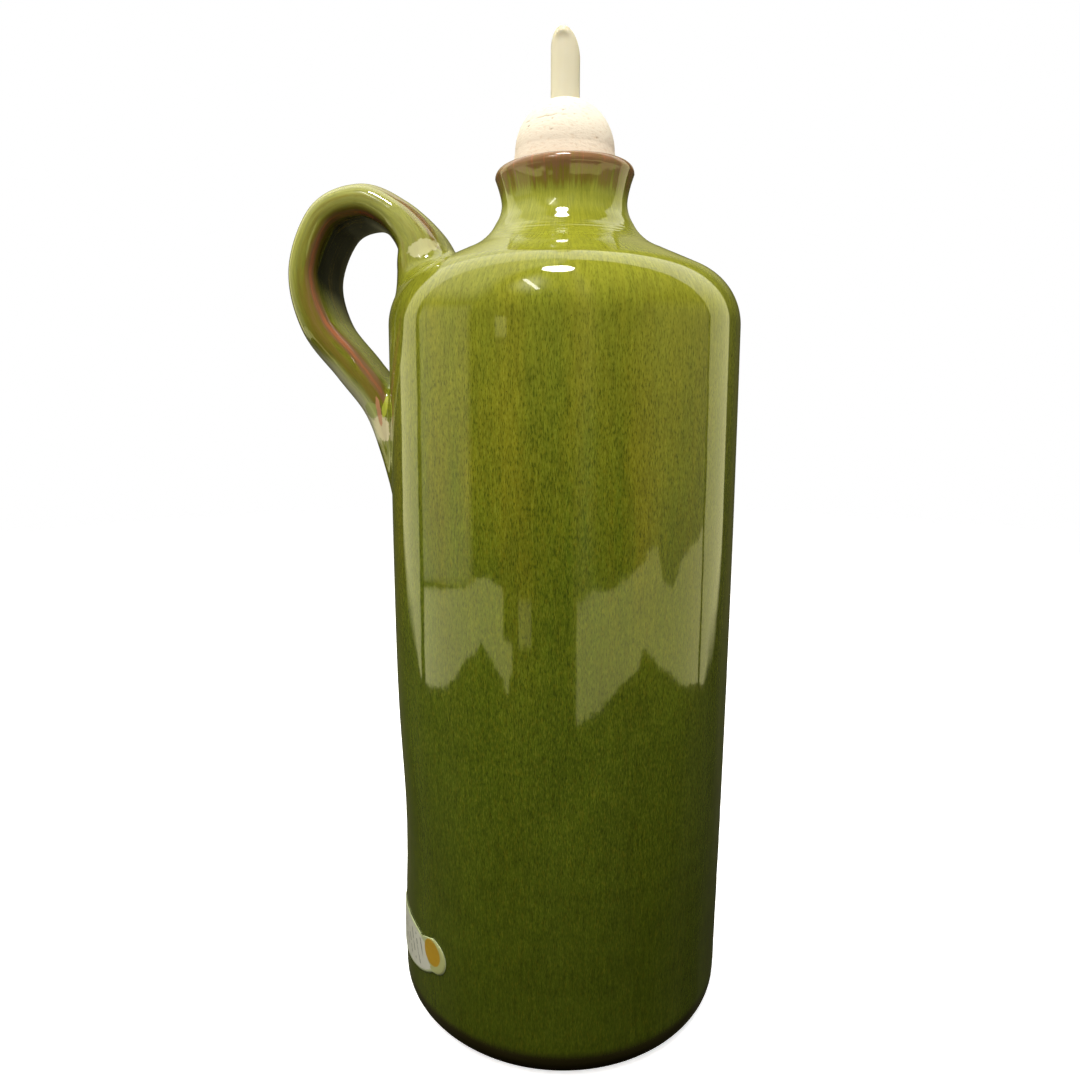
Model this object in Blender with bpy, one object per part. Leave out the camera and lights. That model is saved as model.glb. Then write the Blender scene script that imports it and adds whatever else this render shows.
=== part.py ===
"""A corked oil cruet: a thrown, glazed stoneware bottle with one pulled strap handle, a natural
cork pushed into its neck, an ivory pouring tube through the cork, and a small paper label.

Metres, +Z up. The bottle stands on z = 0 with its axis on Z, and its handle points along -X.
"""

import math

import bmesh
import bpy
from mathutils import Vector

# ---------------------------------------------------------------- driving dimensions, in metres

BOTTLE_SIDES = 80
BASE_RADIUS = 0.0441
BASE_RING = 0.5  # share of the base's radius where its flat has a ring of corners
BELLY = 0.0006  # how far the wall swells half way up the belly's reach
BELLY_REACH = 0.200
WALL_TOP = 0.1807
WALL_STEPS = 11
FOOT_ROUND = 0.0064
FOOT_STEPS = 4

SHOULDER_ROUND = 0.0155
SHOULDER_SLOPE = math.radians(23.3)
SHOULDER_STEPS = 8
NECK_FOOT = (0.0245, 0.1997)
NECK_WAIST = (0.0157, 0.2110)
NECK_FOOT_PULL = 0.0064  # how far each end's direction carries into the curve
NECK_WAIST_PULL = 0.0035
NECK_STEPS = 7
LIP_EDGE = (0.0173, 0.2175)
LIP_WAIST_PULL = 0.0011
LIP_EDGE_PULL = (0.0011, 0.0028)  # inward and down
LIP_STEPS = 3
LIP_ROUND = 0.0020
LIP_ROUND_STEPS = 6

MOUTH_RADIUS = 0.0133
BORE_FLOOR = 0.1950
BORE_FLOOR_RADIUS = 0.0121
BORE_STEPS = 3

DENT_DEPTH = 0.0014  # the soft dent under the handle, left by the potter's hand
DENT_HEIGHT = 0.0500
DENT_REACH = 0.0260
LIP_LEAN = 0.030  # the lip rises this much per metre away from the handle
LEAN_FROM = 0.2060
LEAN_FULL = 0.2175

HANDLE_SIDES = 24
HANDLE_STEPS = 4  # rings between two stations
# Where the strap's middle runs: distance from the axis, height, half its width, half its depth.
HANDLE_STATIONS = (
    (0.0325, 0.1885, 0.0165, 0.0098),
    (0.0343, 0.1962, 0.0155, 0.0074),
    (0.0362, 0.2022, 0.0148, 0.0056),
    (0.0418, 0.2082, 0.0140, 0.0047),
    (0.0500, 0.2115, 0.0136, 0.0047),
    (0.0597, 0.2078, 0.0136, 0.0045),
    (0.0654, 0.1950, 0.0134, 0.0044),
    (0.0628, 0.1818, 0.0130, 0.0047),
    (0.0545, 0.1710, 0.0124, 0.0048),
    (0.0473, 0.1614, 0.0118, 0.0048),
    (0.0437, 0.1500, 0.0108, 0.0043),
    (0.0408, 0.1340, 0.0090, 0.0034),
)
HANDLE_OUTER_CROWN = 2.2  # superellipse powers: 2 is an ellipse, more is boxier
HANDLE_INNER_CROWN = 3.0
HANDLE_EDGE = 2.6

CORK_SIDES = 40
CORK_FIT = 0.00035  # clearance to the bore and to the tube
CORK_FOOT = 0.1990
CORK_BEVEL = 0.0008
CORK_SWELL = (0.01290, 0.2205)  # its widest, just above the lip
CORK_SHOULDER = 0.2232
CORK_SHOULDER_RADIUS = 0.01235
CORK_DOME = 0.0126
CORK_DOME_STEPS = 9

SPOUT_SIDES = 24
SPOUT_RADIUS = 0.00356
SPOUT_BORE = 0.0024
SPOUT_FOOT = 0.1972
SPOUT_MIDDLE = 0.2461  # height of the slanted cut on the tube's axis
SPOUT_CUT_RISE = 0.0049
SPOUT_CUT_TOWARDS = math.radians(-99)  # the side where the cut stands highest

LABEL_GAP = 0.0003
LABEL_THICKNESS = 0.0004
LABEL_TURN = math.radians(-154)  # where the label's middle lies round the bottle
LABEL_HEIGHT = 0.0203
LABEL_LENGTH = 0.0375
LABEL_WIDTH = 0.0130
LABEL_TILT = math.radians(4)
LABEL_DISC = (0.0181, 0.0021)  # middle of the round end, along the label and up it
LABEL_DISC_RADIUS = 0.0047
LABEL_SIDES = 96
LABEL_RINGS = 3

SHARP_EDGE = math.radians(40)


# ---------------------------------------------------------------- curves and outlines


def arc(centre, radius, start, end, steps):
    """Points of a round stretch in the (radius, height) plane, both ends included."""
    points = []
    for step in range(steps + 1):
        angle = start + (end - start) * step / steps
        points.append((centre[0] + radius * math.cos(angle), centre[1] + radius * math.sin(angle)))
    return points


def bezier(start, pull_start, pull_end, end, steps):
    """Points of a cubic Bezier curve in the (radius, height) plane, both ends included."""
    points = []
    for step in range(steps + 1):
        t = step / steps
        weights = ((1 - t) ** 3, 3 * t * (1 - t) ** 2, 3 * t * t * (1 - t), t**3)
        knots = (start, pull_start, pull_end, end)
        points.append(tuple(sum(w * k[axis] for w, k in zip(weights, knots)) for axis in (0, 1)))
    return points


def smooth_step(value, low, high):
    t = min(max((value - low) / (high - low), 0.0), 1.0)
    return t * t * (3 - 2 * t)


def wall_radius(height):
    return BASE_RADIUS + BELLY * math.sin(math.pi * min(height / BELLY_REACH, 1.0))


def bore_radius(height):
    """The neck's bore narrows from its mouth to its floor."""
    share = (height - BORE_FLOOR) / (LIP_EDGE[1] - BORE_FLOOR)
    return BORE_FLOOR_RADIUS + (MOUTH_RADIUS - BORE_FLOOR_RADIUS) * share


def bottle_outline():
    """(radius, height) from the middle of the base, up the outside and down into the neck."""
    points = [(0.0, 0.0), (BASE_RADIUS * BASE_RING, 0.0)]
    points += arc((BASE_RADIUS - FOOT_ROUND, FOOT_ROUND), FOOT_ROUND, -math.pi / 2, 0, FOOT_STEPS)
    for step in range(1, WALL_STEPS):
        height = FOOT_ROUND + (WALL_TOP - FOOT_ROUND) * step / WALL_STEPS
        points.append((wall_radius(height), height))
    shoulder_centre = (wall_radius(WALL_TOP) - SHOULDER_ROUND, WALL_TOP)
    turn = math.pi / 2 - SHOULDER_SLOPE
    points += arc(shoulder_centre, SHOULDER_ROUND, 0, turn, SHOULDER_STEPS)
    along_slope = (-math.cos(SHOULDER_SLOPE), math.sin(SHOULDER_SLOPE))
    pull_start = tuple(NECK_FOOT[axis] + NECK_FOOT_PULL * along_slope[axis] for axis in (0, 1))
    pull_end = (NECK_WAIST[0], NECK_WAIST[1] - NECK_WAIST_PULL)
    points += bezier(NECK_FOOT, pull_start, pull_end, NECK_WAIST, NECK_STEPS)
    pull_start = (NECK_WAIST[0], NECK_WAIST[1] + LIP_WAIST_PULL)
    pull_end = (LIP_EDGE[0] - LIP_EDGE_PULL[0], LIP_EDGE[1] - LIP_EDGE_PULL[1])
    points += bezier(NECK_WAIST, pull_start, pull_end, LIP_EDGE, LIP_STEPS)[1:]
    lip_centre = (LIP_EDGE[0] - LIP_ROUND, LIP_EDGE[1])
    points += arc(lip_centre, LIP_ROUND, 0, math.pi, LIP_ROUND_STEPS)[1:]
    for step in range(1, BORE_STEPS + 1):
        height = LIP_EDGE[1] + (BORE_FLOOR - LIP_EDGE[1]) * step / BORE_STEPS
        points.append((bore_radius(height), height))
    points.append((0.0, BORE_FLOOR))
    return points


def hand_made(point):
    """Presses the dent into the wall under the handle and leans the lip."""
    x, y, z = point
    facing = max(-x / max(math.hypot(x, y), 1e-6), 0.0)
    depth = DENT_DEPTH * facing**2 * math.exp(-(((z - DENT_HEIGHT) / DENT_REACH) ** 2))
    squeeze = 1 - depth / BASE_RADIUS
    lean = LIP_LEAN * x * smooth_step(z, LEAN_FROM, LEAN_FULL)
    return Vector((x * squeeze, y * squeeze, z + lean))


# ---------------------------------------------------------------- mesh building


def principled(name, colour, roughness, coat=0.0):
    material = bpy.data.materials.new(name)
    material.use_nodes = True
    shader = material.node_tree.nodes["Principled BSDF"]
    shader.inputs["Base Color"].default_value = (*colour, 1.0)
    shader.inputs["Roughness"].default_value = roughness
    shader.inputs["Coat Weight"].default_value = coat
    material.diffuse_color = (*colour, 1.0)
    return material


def add_object(name, shape, material):
    """Turns a finished bmesh into a named object, shaded smooth but for its sharp edges."""
    bmesh.ops.recalc_face_normals(shape, faces=shape.faces)
    mesh = bpy.data.meshes.new(name)
    shape.to_mesh(mesh)
    shape.free()
    mesh.shade_smooth()
    mesh.set_sharp_from_angle(angle=SHARP_EDGE)
    mesh.materials.append(material)
    obj = bpy.data.objects.new(name, mesh)
    bpy.context.scene.collection.objects.link(obj)
    return obj


def join_rings(shape, rings):
    """Quads between each ring and the next; a ring of one vertex is a pole."""
    for low, high in zip(rings, rings[1:]):
        count = max(len(low), len(high))
        for side in range(count):
            beside = (side + 1) % count
            corners = [low[side % len(low)], low[beside % len(low)]]
            corners += [high[beside % len(high)], high[side % len(high)]]
            shape.faces.new(dict.fromkeys(corners))


def turned(outline, sides, place=Vector):
    """A bmesh turned about Z from (radius, height) points; place may move each of its points."""
    shape = bmesh.new()
    rings = []
    for radius, height in outline:
        count = sides if radius > 0 else 1
        ring = []
        for side in range(count):
            angle = 2 * math.pi * side / sides
            corner = (radius * math.cos(angle), radius * math.sin(angle), height)
            ring.append(shape.verts.new(place(corner)))
        rings.append(ring)
    join_rings(shape, rings)
    return shape, rings


# ---------------------------------------------------------------- the bottle


def catmull_rom(knots, steps):
    """A smooth run through every knot, with this many steps from one to the next."""
    padded = [knots[0], *knots, knots[-1]]
    points = []
    for before, start, end, after in zip(padded, padded[1:], padded[2:], padded[3:]):
        for step in range(steps):
            t = step / steps
            weights = (
                (-t + 2 * t**2 - t**3) / 2,
                (2 - 5 * t**2 + 3 * t**3) / 2,
                (t + 4 * t**2 - 3 * t**3) / 2,
                (-(t**2) + t**3) / 2,
            )
            four = (before, start, end, after)
            points.append([sum(w * k[i] for w, k in zip(weights, four)) for i in range(4)])
    points.append(list(knots[-1]))
    return points


def strap_section(angle, half_width, half_depth):
    """One point of the strap's D-shaped section: across it, and out from its middle."""
    across = math.cos(angle)
    out = math.sin(angle)
    power = HANDLE_OUTER_CROWN if out > 0 else HANDLE_INNER_CROWN
    return (
        half_width * math.copysign(abs(across) ** (2 / HANDLE_EDGE), across),
        half_depth * math.copysign(abs(out) ** (2 / power), out),
    )


def handle_solid():
    """The pulled strap: its section swept along its middle line, in the plane of -X and Z."""
    run = catmull_rom(HANDLE_STATIONS, HANDLE_STEPS)
    shape = bmesh.new()
    rings = []
    for index, (reach, height, half_width, half_depth) in enumerate(run):
        before = run[max(index - 1, 0)]
        after = run[min(index + 1, len(run) - 1)]
        along = Vector((after[0] - before[0], after[1] - before[1])).normalized()
        outward = Vector((-along.y, along.x))
        ring = []
        for side in range(HANDLE_SIDES):
            angle = 2 * math.pi * side / HANDLE_SIDES
            across, out = strap_section(angle, half_width, half_depth)
            spot = (-(reach + outward.x * out), across, height + outward.y * out)
            ring.append(shape.verts.new(spot))
        rings.append(ring)
    join_rings(shape, rings)
    for end in (rings[0], rings[-1]):
        shape.faces.new(end)
    return shape


def make_bottle():
    glaze = principled("green_glaze", (0.16, 0.20, 0.015), 0.12, coat=0.6)
    shape, _ = turned(bottle_outline(), BOTTLE_SIDES, hand_made)
    bottle = add_object("bottle", shape, glaze)
    strap = add_object("handle_strap", handle_solid(), glaze)
    strap.hide_render = True
    strap.display_type = "WIRE"
    union = bottle.modifiers.new("fuse the handle", "BOOLEAN")
    union.operation = "UNION"
    union.object = strap
    return bottle


# ---------------------------------------------------------------- cork, tube and label


def cork_outline():
    """(radius, height) from the hole's lower rim, out and up the tapered side, over the dome."""
    hole = SPOUT_RADIUS + CORK_FIT
    foot_radius = bore_radius(CORK_FOOT) - CORK_FIT
    mouth_radius = MOUTH_RADIUS - CORK_FIT
    points = [
        (hole, CORK_FOOT),
        (foot_radius - CORK_BEVEL, CORK_FOOT),
        (foot_radius, CORK_FOOT + CORK_BEVEL),
        (mouth_radius, LIP_EDGE[1]),
        CORK_SWELL,
    ]
    widest = CORK_SHOULDER_RADIUS
    last = math.acos(hole / widest)
    for step in range(CORK_DOME_STEPS + 1):
        angle = last * step / CORK_DOME_STEPS
        points.append((widest * math.cos(angle), CORK_SHOULDER + CORK_DOME * math.sin(angle)))
    return points


def make_cork():
    bark = principled("natural_cork", (0.80, 0.66, 0.48), 0.85)
    outline = cork_outline()
    shape, rings = turned(outline, CORK_SIDES)
    join_rings(shape, [rings[-1], rings[0]])
    return add_object("cork_stopper", shape, bark)


def cut_height(radius, angle):
    """Height of the tube's slanted end, which stands highest on one side like a quill."""
    rise = SPOUT_CUT_RISE * radius / SPOUT_RADIUS * math.cos(angle - SPOUT_CUT_TOWARDS)
    return SPOUT_MIDDLE + rise


def make_spout():
    """The pouring tube: outer wall, slanted rim, and the bore right through it."""
    ivory = principled("ivory_plastic", (0.78, 0.72, 0.50), 0.35)
    shape = bmesh.new()
    levels = (
        (SPOUT_RADIUS, 0.0),
        (SPOUT_RADIUS, 0.5),
        (SPOUT_RADIUS, 1.0),
        (SPOUT_BORE, 1.0),
        (SPOUT_BORE, 0.5),
        (SPOUT_BORE, 0.0),
    )
    rings = []
    for radius, share in levels:
        ring = []
        for side in range(SPOUT_SIDES):
            angle = 2 * math.pi * side / SPOUT_SIDES
            top = cut_height(radius, angle)
            height = SPOUT_FOOT + (top - SPOUT_FOOT) * share
            spot = (radius * math.cos(angle), radius * math.sin(angle), height)
            ring.append(shape.verts.new(spot))
        rings.append(ring)
    join_rings(shape, [*rings, rings[0]])
    return add_object("pour_spout", shape, ivory)


def label_reach(angle):
    """How far the label runs from its middle this way: an oval with a round disc at one end."""
    long_half, wide_half = LABEL_LENGTH / 2, LABEL_WIDTH / 2
    oval = 1 / math.hypot(math.cos(angle) / long_half, math.sin(angle) / wide_half)
    towards = LABEL_DISC[0] * math.cos(angle) + LABEL_DISC[1] * math.sin(angle)
    beside = LABEL_DISC[1] * math.cos(angle) - LABEL_DISC[0] * math.sin(angle)
    if towards < 0 or abs(beside) >= LABEL_DISC_RADIUS:
        return oval
    return max(oval, towards + math.sqrt(LABEL_DISC_RADIUS**2 - beside**2))


def make_label():
    """A paper label wrapped round the wall, low down beside the handle."""
    paper = principled("label_paper", (0.80, 0.78, 0.68), 0.5)
    shape = bmesh.new()
    sheets = []
    for lift in (LABEL_GAP, LABEL_GAP + LABEL_THICKNESS):
        rings = []
        for ring_index in range(LABEL_RINGS + 1):
            share = ring_index / LABEL_RINGS
            count = LABEL_SIDES if ring_index else 1
            ring = []
            for side in range(count):
                angle = 2 * math.pi * side / LABEL_SIDES
                along = share * label_reach(angle) * math.cos(angle)
                up = share * label_reach(angle) * math.sin(angle)
                run = along * math.cos(LABEL_TILT) - up * math.sin(LABEL_TILT)
                height = LABEL_HEIGHT + along * math.sin(LABEL_TILT) + up * math.cos(LABEL_TILT)
                turn = LABEL_TURN + run / BASE_RADIUS
                radius = wall_radius(height)
                spot = hand_made((radius * math.cos(turn), radius * math.sin(turn), height))
                out = Vector((math.cos(turn), math.sin(turn), 0.0))
                ring.append(shape.verts.new(spot + out * lift))
            rings.append(ring)
        join_rings(shape, rings)
        sheets.append(rings)
    join_rings(shape, [sheets[0][-1], sheets[1][-1]])
    return add_object("label", shape, paper)


for leftover in list(bpy.data.objects):
    bpy.data.objects.remove(leftover, do_unlink=True)
make_bottle()
make_cork()
make_spout()
make_label()
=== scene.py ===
# %% [markdown]
# # A corked oil cruet
#
# The real thing is a stoneware bottle thrown on a potter's wheel, with one pulled strap handle,
# a runny green glaze, a natural cork pushed into its neck, an ivory pouring tube through the
# cork and a small paper label low on its side. Four pieces are made here. Each stands for one
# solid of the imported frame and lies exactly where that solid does: `bottle`, `cork_stopper`,
# `pour_spout` and `label`. Everything is in metres, +Z up; the handle points along -X.

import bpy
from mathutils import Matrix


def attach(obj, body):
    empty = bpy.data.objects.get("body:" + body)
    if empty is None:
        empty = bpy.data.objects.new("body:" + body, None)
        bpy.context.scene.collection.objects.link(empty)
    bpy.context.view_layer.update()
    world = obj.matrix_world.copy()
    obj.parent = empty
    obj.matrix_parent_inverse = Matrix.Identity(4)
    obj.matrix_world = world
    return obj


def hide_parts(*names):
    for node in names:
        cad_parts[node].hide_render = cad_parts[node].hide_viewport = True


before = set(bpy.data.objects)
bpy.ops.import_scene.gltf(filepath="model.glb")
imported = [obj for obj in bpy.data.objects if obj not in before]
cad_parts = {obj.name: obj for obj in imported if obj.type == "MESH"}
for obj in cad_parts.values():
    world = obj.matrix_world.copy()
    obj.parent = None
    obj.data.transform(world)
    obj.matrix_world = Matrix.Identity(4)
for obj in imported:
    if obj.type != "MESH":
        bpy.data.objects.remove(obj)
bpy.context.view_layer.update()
print("frame nodes:", sorted(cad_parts))

# %% The modules
import math

import bpy
import numpy as np
from mathutils import Matrix, Vector
from mathutils.bvhtree import BVHTree

MM = 0.001

# %% [markdown]
# ## Sizes
#
# A turned pot is one outline, so its sizes are those of its outline: how wide the base is, where
# the wall ends, how round the shoulder is, where the neck is narrowest and how far the lip flares.
# They are the same named values that the frame's solids were made from, because a piece that is
# dressed over a solid must keep that solid's size.

# %% Sizes of the turned bottle
BASE_RADIUS = 0.0441
BELLY = 0.0006
BELLY_REACH = 0.200
WALL_TOP = 0.1807
FOOT_ROUND = 0.0064
SHOULDER_ROUND = 0.0155
SHOULDER_SLOPE = math.radians(23.3)
NECK_FOOT = (0.0245, 0.1997)
NECK_WAIST = (0.0157, 0.2110)
NECK_FOOT_PULL = 0.0064
NECK_WAIST_PULL = 0.0035
LIP_EDGE = (0.0173, 0.2175)
LIP_WAIST_PULL = 0.0011
LIP_EDGE_PULL = (0.0011, 0.0028)
LIP_ROUND = 0.0020
MOUTH_RADIUS = 0.0133
BORE_FLOOR = 0.1950
BORE_FLOOR_RADIUS = 0.0121
DENT_DEPTH = 0.0014
DENT_HEIGHT = 0.0500
DENT_REACH = 0.0260
LIP_LEAN = 0.030
LEAN_FROM = 0.2060
LEAN_FULL = 0.2175

# %% Sizes of the pulled handle
# Each station: distance from the axis, height, half the strap's width, half its depth.
HANDLE_STATIONS = (
    (0.0325, 0.1885, 0.0165, 0.0098),
    (0.0343, 0.1962, 0.0155, 0.0074),
    (0.0362, 0.2022, 0.0148, 0.0056),
    (0.0418, 0.2082, 0.0140, 0.0047),
    (0.0500, 0.2115, 0.0136, 0.0047),
    (0.0597, 0.2078, 0.0136, 0.0045),
    (0.0654, 0.1950, 0.0134, 0.0044),
    (0.0628, 0.1818, 0.0130, 0.0047),
    (0.0545, 0.1710, 0.0124, 0.0048),
    (0.0473, 0.1614, 0.0118, 0.0048),
    (0.0437, 0.1500, 0.0108, 0.0043),
    (0.0408, 0.1340, 0.0090, 0.0034),
)
HANDLE_OUTER_CROWN = 2.2
HANDLE_INNER_CROWN = 3.0
HANDLE_EDGE = 2.6

# %% [markdown]
# ## A short way to write node trees
#
# Both Geometry Nodes and shader trees are made of the same two acts: add a node, then join
# sockets. This helper does both in one call, so that a tree reads from top to bottom like the
# steps of a recipe. An input that is given another node's socket is linked, and any other value
# is typed into the socket. The plain sums are chains, because a node adds only two numbers.

# %% The node helper
class Steps:
    """Adds nodes to one tree and joins their sockets."""

    def __init__(self, tree):
        self.tree = tree

    def put(self, socket, value):
        if isinstance(value, bpy.types.NodeSocket):
            self.tree.links.new(value, socket)
        elif value is not None:
            socket.default_value = value

    def add(self, kind, inputs=(), **settings):
        """A node of this kind, with its settings, then its inputs by name or number."""
        node = self.tree.nodes.new(kind)
        for name, value in settings.items():
            setattr(node, name, value)
        for name, value in dict(inputs).items():
            self.put(node.inputs[name], value)
        return node

    def math(self, operation, *values):
        node = self.tree.nodes.new("ShaderNodeMath")
        node.operation = operation
        for socket, value in zip(node.inputs, values):
            self.put(socket, value)
        return node.outputs[0]

    def chain(self, operation, values):
        """The same sum from each value to the next."""
        result = values[0]
        for value in values[1:]:
            result = self.math(operation, result, value)
        return result

    def times(self, *values):
        return self.chain("MULTIPLY", values)

    def plus(self, *values):
        return self.chain("ADD", values)

    def minus(self, *values):
        return self.chain("SUBTRACT", values)

    def highest(self, *values):
        return self.chain("MAXIMUM", values)

    def times_plus(self, first, second, third):
        """The first value times the second, plus the third."""
        return self.math("MULTIPLY_ADD", first, second, third)

    def ease(self, value, low, high, from_value=0.0, to_value=1.0):
        """A smooth step from one value to another, as value goes from low to high."""
        node = self.tree.nodes.new("ShaderNodeMapRange")
        node.interpolation_type = "SMOOTHSTEP"
        names = ("Value", "From Min", "From Max", "To Min", "To Max")
        for name, number in zip(names, (value, low, high, from_value, to_value)):
            self.put(node.inputs[name], number)
        return node.outputs["Result"]

    def between(self, value, low, high, soft):
        """1 while the value lies between low and high, with soft edges."""
        return self.times(self.ease(value, low, low + soft), self.ease(value, high, high - soft))

    def bell(self, value, middle, reach):
        """1 at the middle, falling smoothly to almost 0 two reaches away on both sides."""
        away = self.math("DIVIDE", self.minus(value, middle), reach)
        return self.math("EXPONENT", self.times(away, away, -1.0))

    def vector(self, operation, first, second=None, scale=None):
        node = self.tree.nodes.new("ShaderNodeVectorMath")
        node.operation = operation
        self.put(node.inputs[0], first)
        self.put(node.inputs[1], second)
        if scale is not None:
            self.put(next(socket for socket in node.inputs if socket.name == "Scale"), scale)
        return node.outputs["Value" if operation in ("LENGTH", "DOT_PRODUCT") else 0]

    def xyz(self, vector):
        """A vector's three numbers."""
        return self.add("ShaderNodeSeparateXYZ", {0: vector}).outputs

    def from_xyz(self, x, y, z):
        return self.add("ShaderNodeCombineXYZ", {0: x, 1: y, 2: z}).outputs[0]

    def noise(self, vector, scale, detail):
        inputs = {"Vector": vector, "Scale": scale, "Detail": detail}
        return self.add("ShaderNodeTexNoise", inputs).outputs[0]

    def mix(self, share, first, second, blend="MIX"):
        """One colour laid over another."""
        node = self.tree.nodes.new("ShaderNodeMix")
        node.data_type = "RGBA"
        node.blend_type = blend
        self.put(node.inputs["Factor"], share)
        self.put(node.inputs[6], colour4(first))
        self.put(node.inputs[7], colour4(second))
        return node.outputs[2]

    def mix_shaders(self, share, first, second):
        return self.add("ShaderNodeMixShader", {0: share, 1: first, 2: second}).outputs[0]


def colour4(value):
    """Adds the alpha that a colour socket wants, and leaves sockets alone."""
    if isinstance(value, tuple) and len(value) == 3:
        return (*value, 1.0)
    return value


def new_group(kind, name, inputs, outputs):
    """A node group with its inputs (name: (socket type, value)) and outputs (name: socket type)."""
    tree = bpy.data.node_groups.new(name, kind)
    for label, (socket_type, value) in inputs.items():
        socket = tree.interface.new_socket(label, in_out="INPUT", socket_type=socket_type)
        if value is not None:
            socket.default_value = value
    for label, socket_type in outputs.items():
        tree.interface.new_socket(label, in_out="OUTPUT", socket_type=socket_type)
    steps = Steps(tree)
    return steps, steps.add("NodeGroupInput").outputs, steps.add("NodeGroupOutput").inputs


# %% Putting things in the scene
def put_in_scene(name, data):
    """A new object at the origin that carries this data."""
    obj = bpy.data.objects.new(name, data)
    bpy.context.scene.collection.objects.link(obj)
    return obj


# %% [markdown]
# ## Camera
#
# The camera stands close to the bottle, a little above half its height, and looks slightly down.
# A short distance and a short lens together make the base look smaller than the shoulder. The
# view is built from a place and three angles, not from a target object, so that nothing else has
# to stay in the scene for it.

# %% The camera
CAMERA_AZIMUTH = math.radians(5.0)  # round from -Y towards +X
CAMERA_DISTANCE = 0.2122
CAMERA_HEIGHT = 0.1631
CAMERA_YAW = math.radians(-6.6)
CAMERA_PITCH = math.radians(9.94)
CAMERA_ROLL = math.radians(0.14)
FRAME_WIDTH = 36.0  # mm
CAMERA_LENS = 26.667  # mm, on a frame of that width

towards_camera = Vector((math.sin(CAMERA_AZIMUTH), -math.cos(CAMERA_AZIMUTH), 0.0))
level_ahead = Vector((math.sin(CAMERA_YAW), math.cos(CAMERA_YAW), 0.0))
forward = level_ahead * math.cos(CAMERA_PITCH) - Vector((0.0, 0.0, math.sin(CAMERA_PITCH)))
level_right = Vector((math.cos(CAMERA_YAW), -math.sin(CAMERA_YAW), 0.0))
level_up = level_right.cross(forward)
right = math.cos(CAMERA_ROLL) * level_right + math.sin(CAMERA_ROLL) * level_up
up = math.cos(CAMERA_ROLL) * level_up - math.sin(CAMERA_ROLL) * level_right
camera_data = bpy.data.cameras.new("camera")
camera_data.lens = CAMERA_LENS
camera_data.sensor_width = FRAME_WIDTH
camera_data.sensor_fit = "HORIZONTAL"
camera_data.clip_start = 0.01
camera = put_in_scene("camera", camera_data)
camera_place = towards_camera * CAMERA_DISTANCE + Vector((0.0, 0.0, CAMERA_HEIGHT))
turned = Matrix((right, up, -forward)).transposed().to_4x4()
camera.matrix_world = Matrix.Translation(camera_place) @ turned
bpy.context.scene.camera = camera
print("camera at", [round(value, 4) for value in camera_place])

# %% [markdown]
# ## Floor and light
#
# A gloss glaze is seen mostly by what it mirrors, so most of the work of lighting it goes into the
# surroundings, not into lamps. The real studio trick is to stand pale cards round the pot: their
# edges show as clean bright strips on the wall. Here the cards are painted into the world's
# background by direction, as a few smooth bands: a tall belt a little behind the bottle on both
# sides and overhead, a broad card on the left, a faint one on the right, and a low ragged border
# below, under which everything is dark. Only mirrored light sees the cards. Direct view sees plain
# white, and soft light sees an even dome, which keeps the picture calm and quick to render.
#
# A direction is given as a turn from the camera's side and a height, both in degrees, with minus
# on the left and below. `facing` is the cosine of its angle from the camera's side, so minus is
# behind the bottle.

# %% The low cards' ragged outlines
# Knots of the foot and top: turn, height.
CARD_FOOT = (
    (-180, -12.0), (-128, -12.0), (-124, -15.5), (-116, -18.2), (-110, -19.7), (-98, -20.5),
    (-80, -20.2), (-71, -19.4), (-65, -18.4), (-56, -17.9), (-53, -17.0), (-50, -17.7),
    (-44, -18.4), (-40, -19.6), (-35, -20.8), (-31, -18.8), (-18, -17.8), (0, -19.5),
    (11, -22.6), (25, -22.0), (33, -21.2), (39, -20.2), (51, -18.9), (54, -17.3), (62, -17.9),
    (66, -18.8), (74, -19.3), (87, -19.8), (113, -19.8), (119, -19.1), (123, -17.5),
    (127, -14.5), (130, -11.0), (180, -11.0),
)
LOW_CARD_TOP = (
    (-180, -13.3), (-101, -13.3), (-77, -13.1), (-61, -12.7), (-48, -12.1), (-40, -13.1),
    (-32, -14.1), (-19, -13.4), (3, -14.2), (12, -14.2), (20, -13.0), (31, -12.9), (42, -12.3),
    (50, -11.3), (57, -10.2), (63, -10.0), (68, -12.3), (76, -12.7), (83, -10.5), (97, -9.5),
    (104, -8.0), (180, -8.0),
)
CURVE_LOW, CURVE_SPAN = -30.0, 40.0  # a curve node holds 0 to 1, so heights are fitted into this


def profile(s, azimuth, knots):
    """Height in degrees, as straight lines through the knots."""
    node = s.add("ShaderNodeFloatCurve", {"Value": s.times_plus(azimuth, 1 / 360, 0.5)})
    curve = node.mapping.curves[0]
    spots = [(turn / 360 + 0.5, (height - CURVE_LOW) / CURVE_SPAN) for turn, height in knots]
    curve.points[0].location, curve.points[1].location = spots[0], spots[-1]
    for spot in spots[1:-1]:
        curve.points.new(*spot)
    for point in curve.points:
        point.handle_type = "VECTOR"
    node.mapping.update()
    return s.times_plus(node.outputs[0], CURVE_SPAN, CURVE_LOW)


# %% The belt
BELT_BACK = -0.61  # its rear and front edges, as `facing`
BELT_FRONT_LEFT = -0.281
BELT_FRONT_RIGHT = -0.240
BELT_OVERHEAD = 0.085  # how much nearer its front edge comes overhead
BELT_GAP = 0.077  # the dark line in front of it
BELT_GAP_RIGHT = 0.45 * BELT_GAP  # narrower there
BELT_WOBBLE = 0.035


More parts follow.
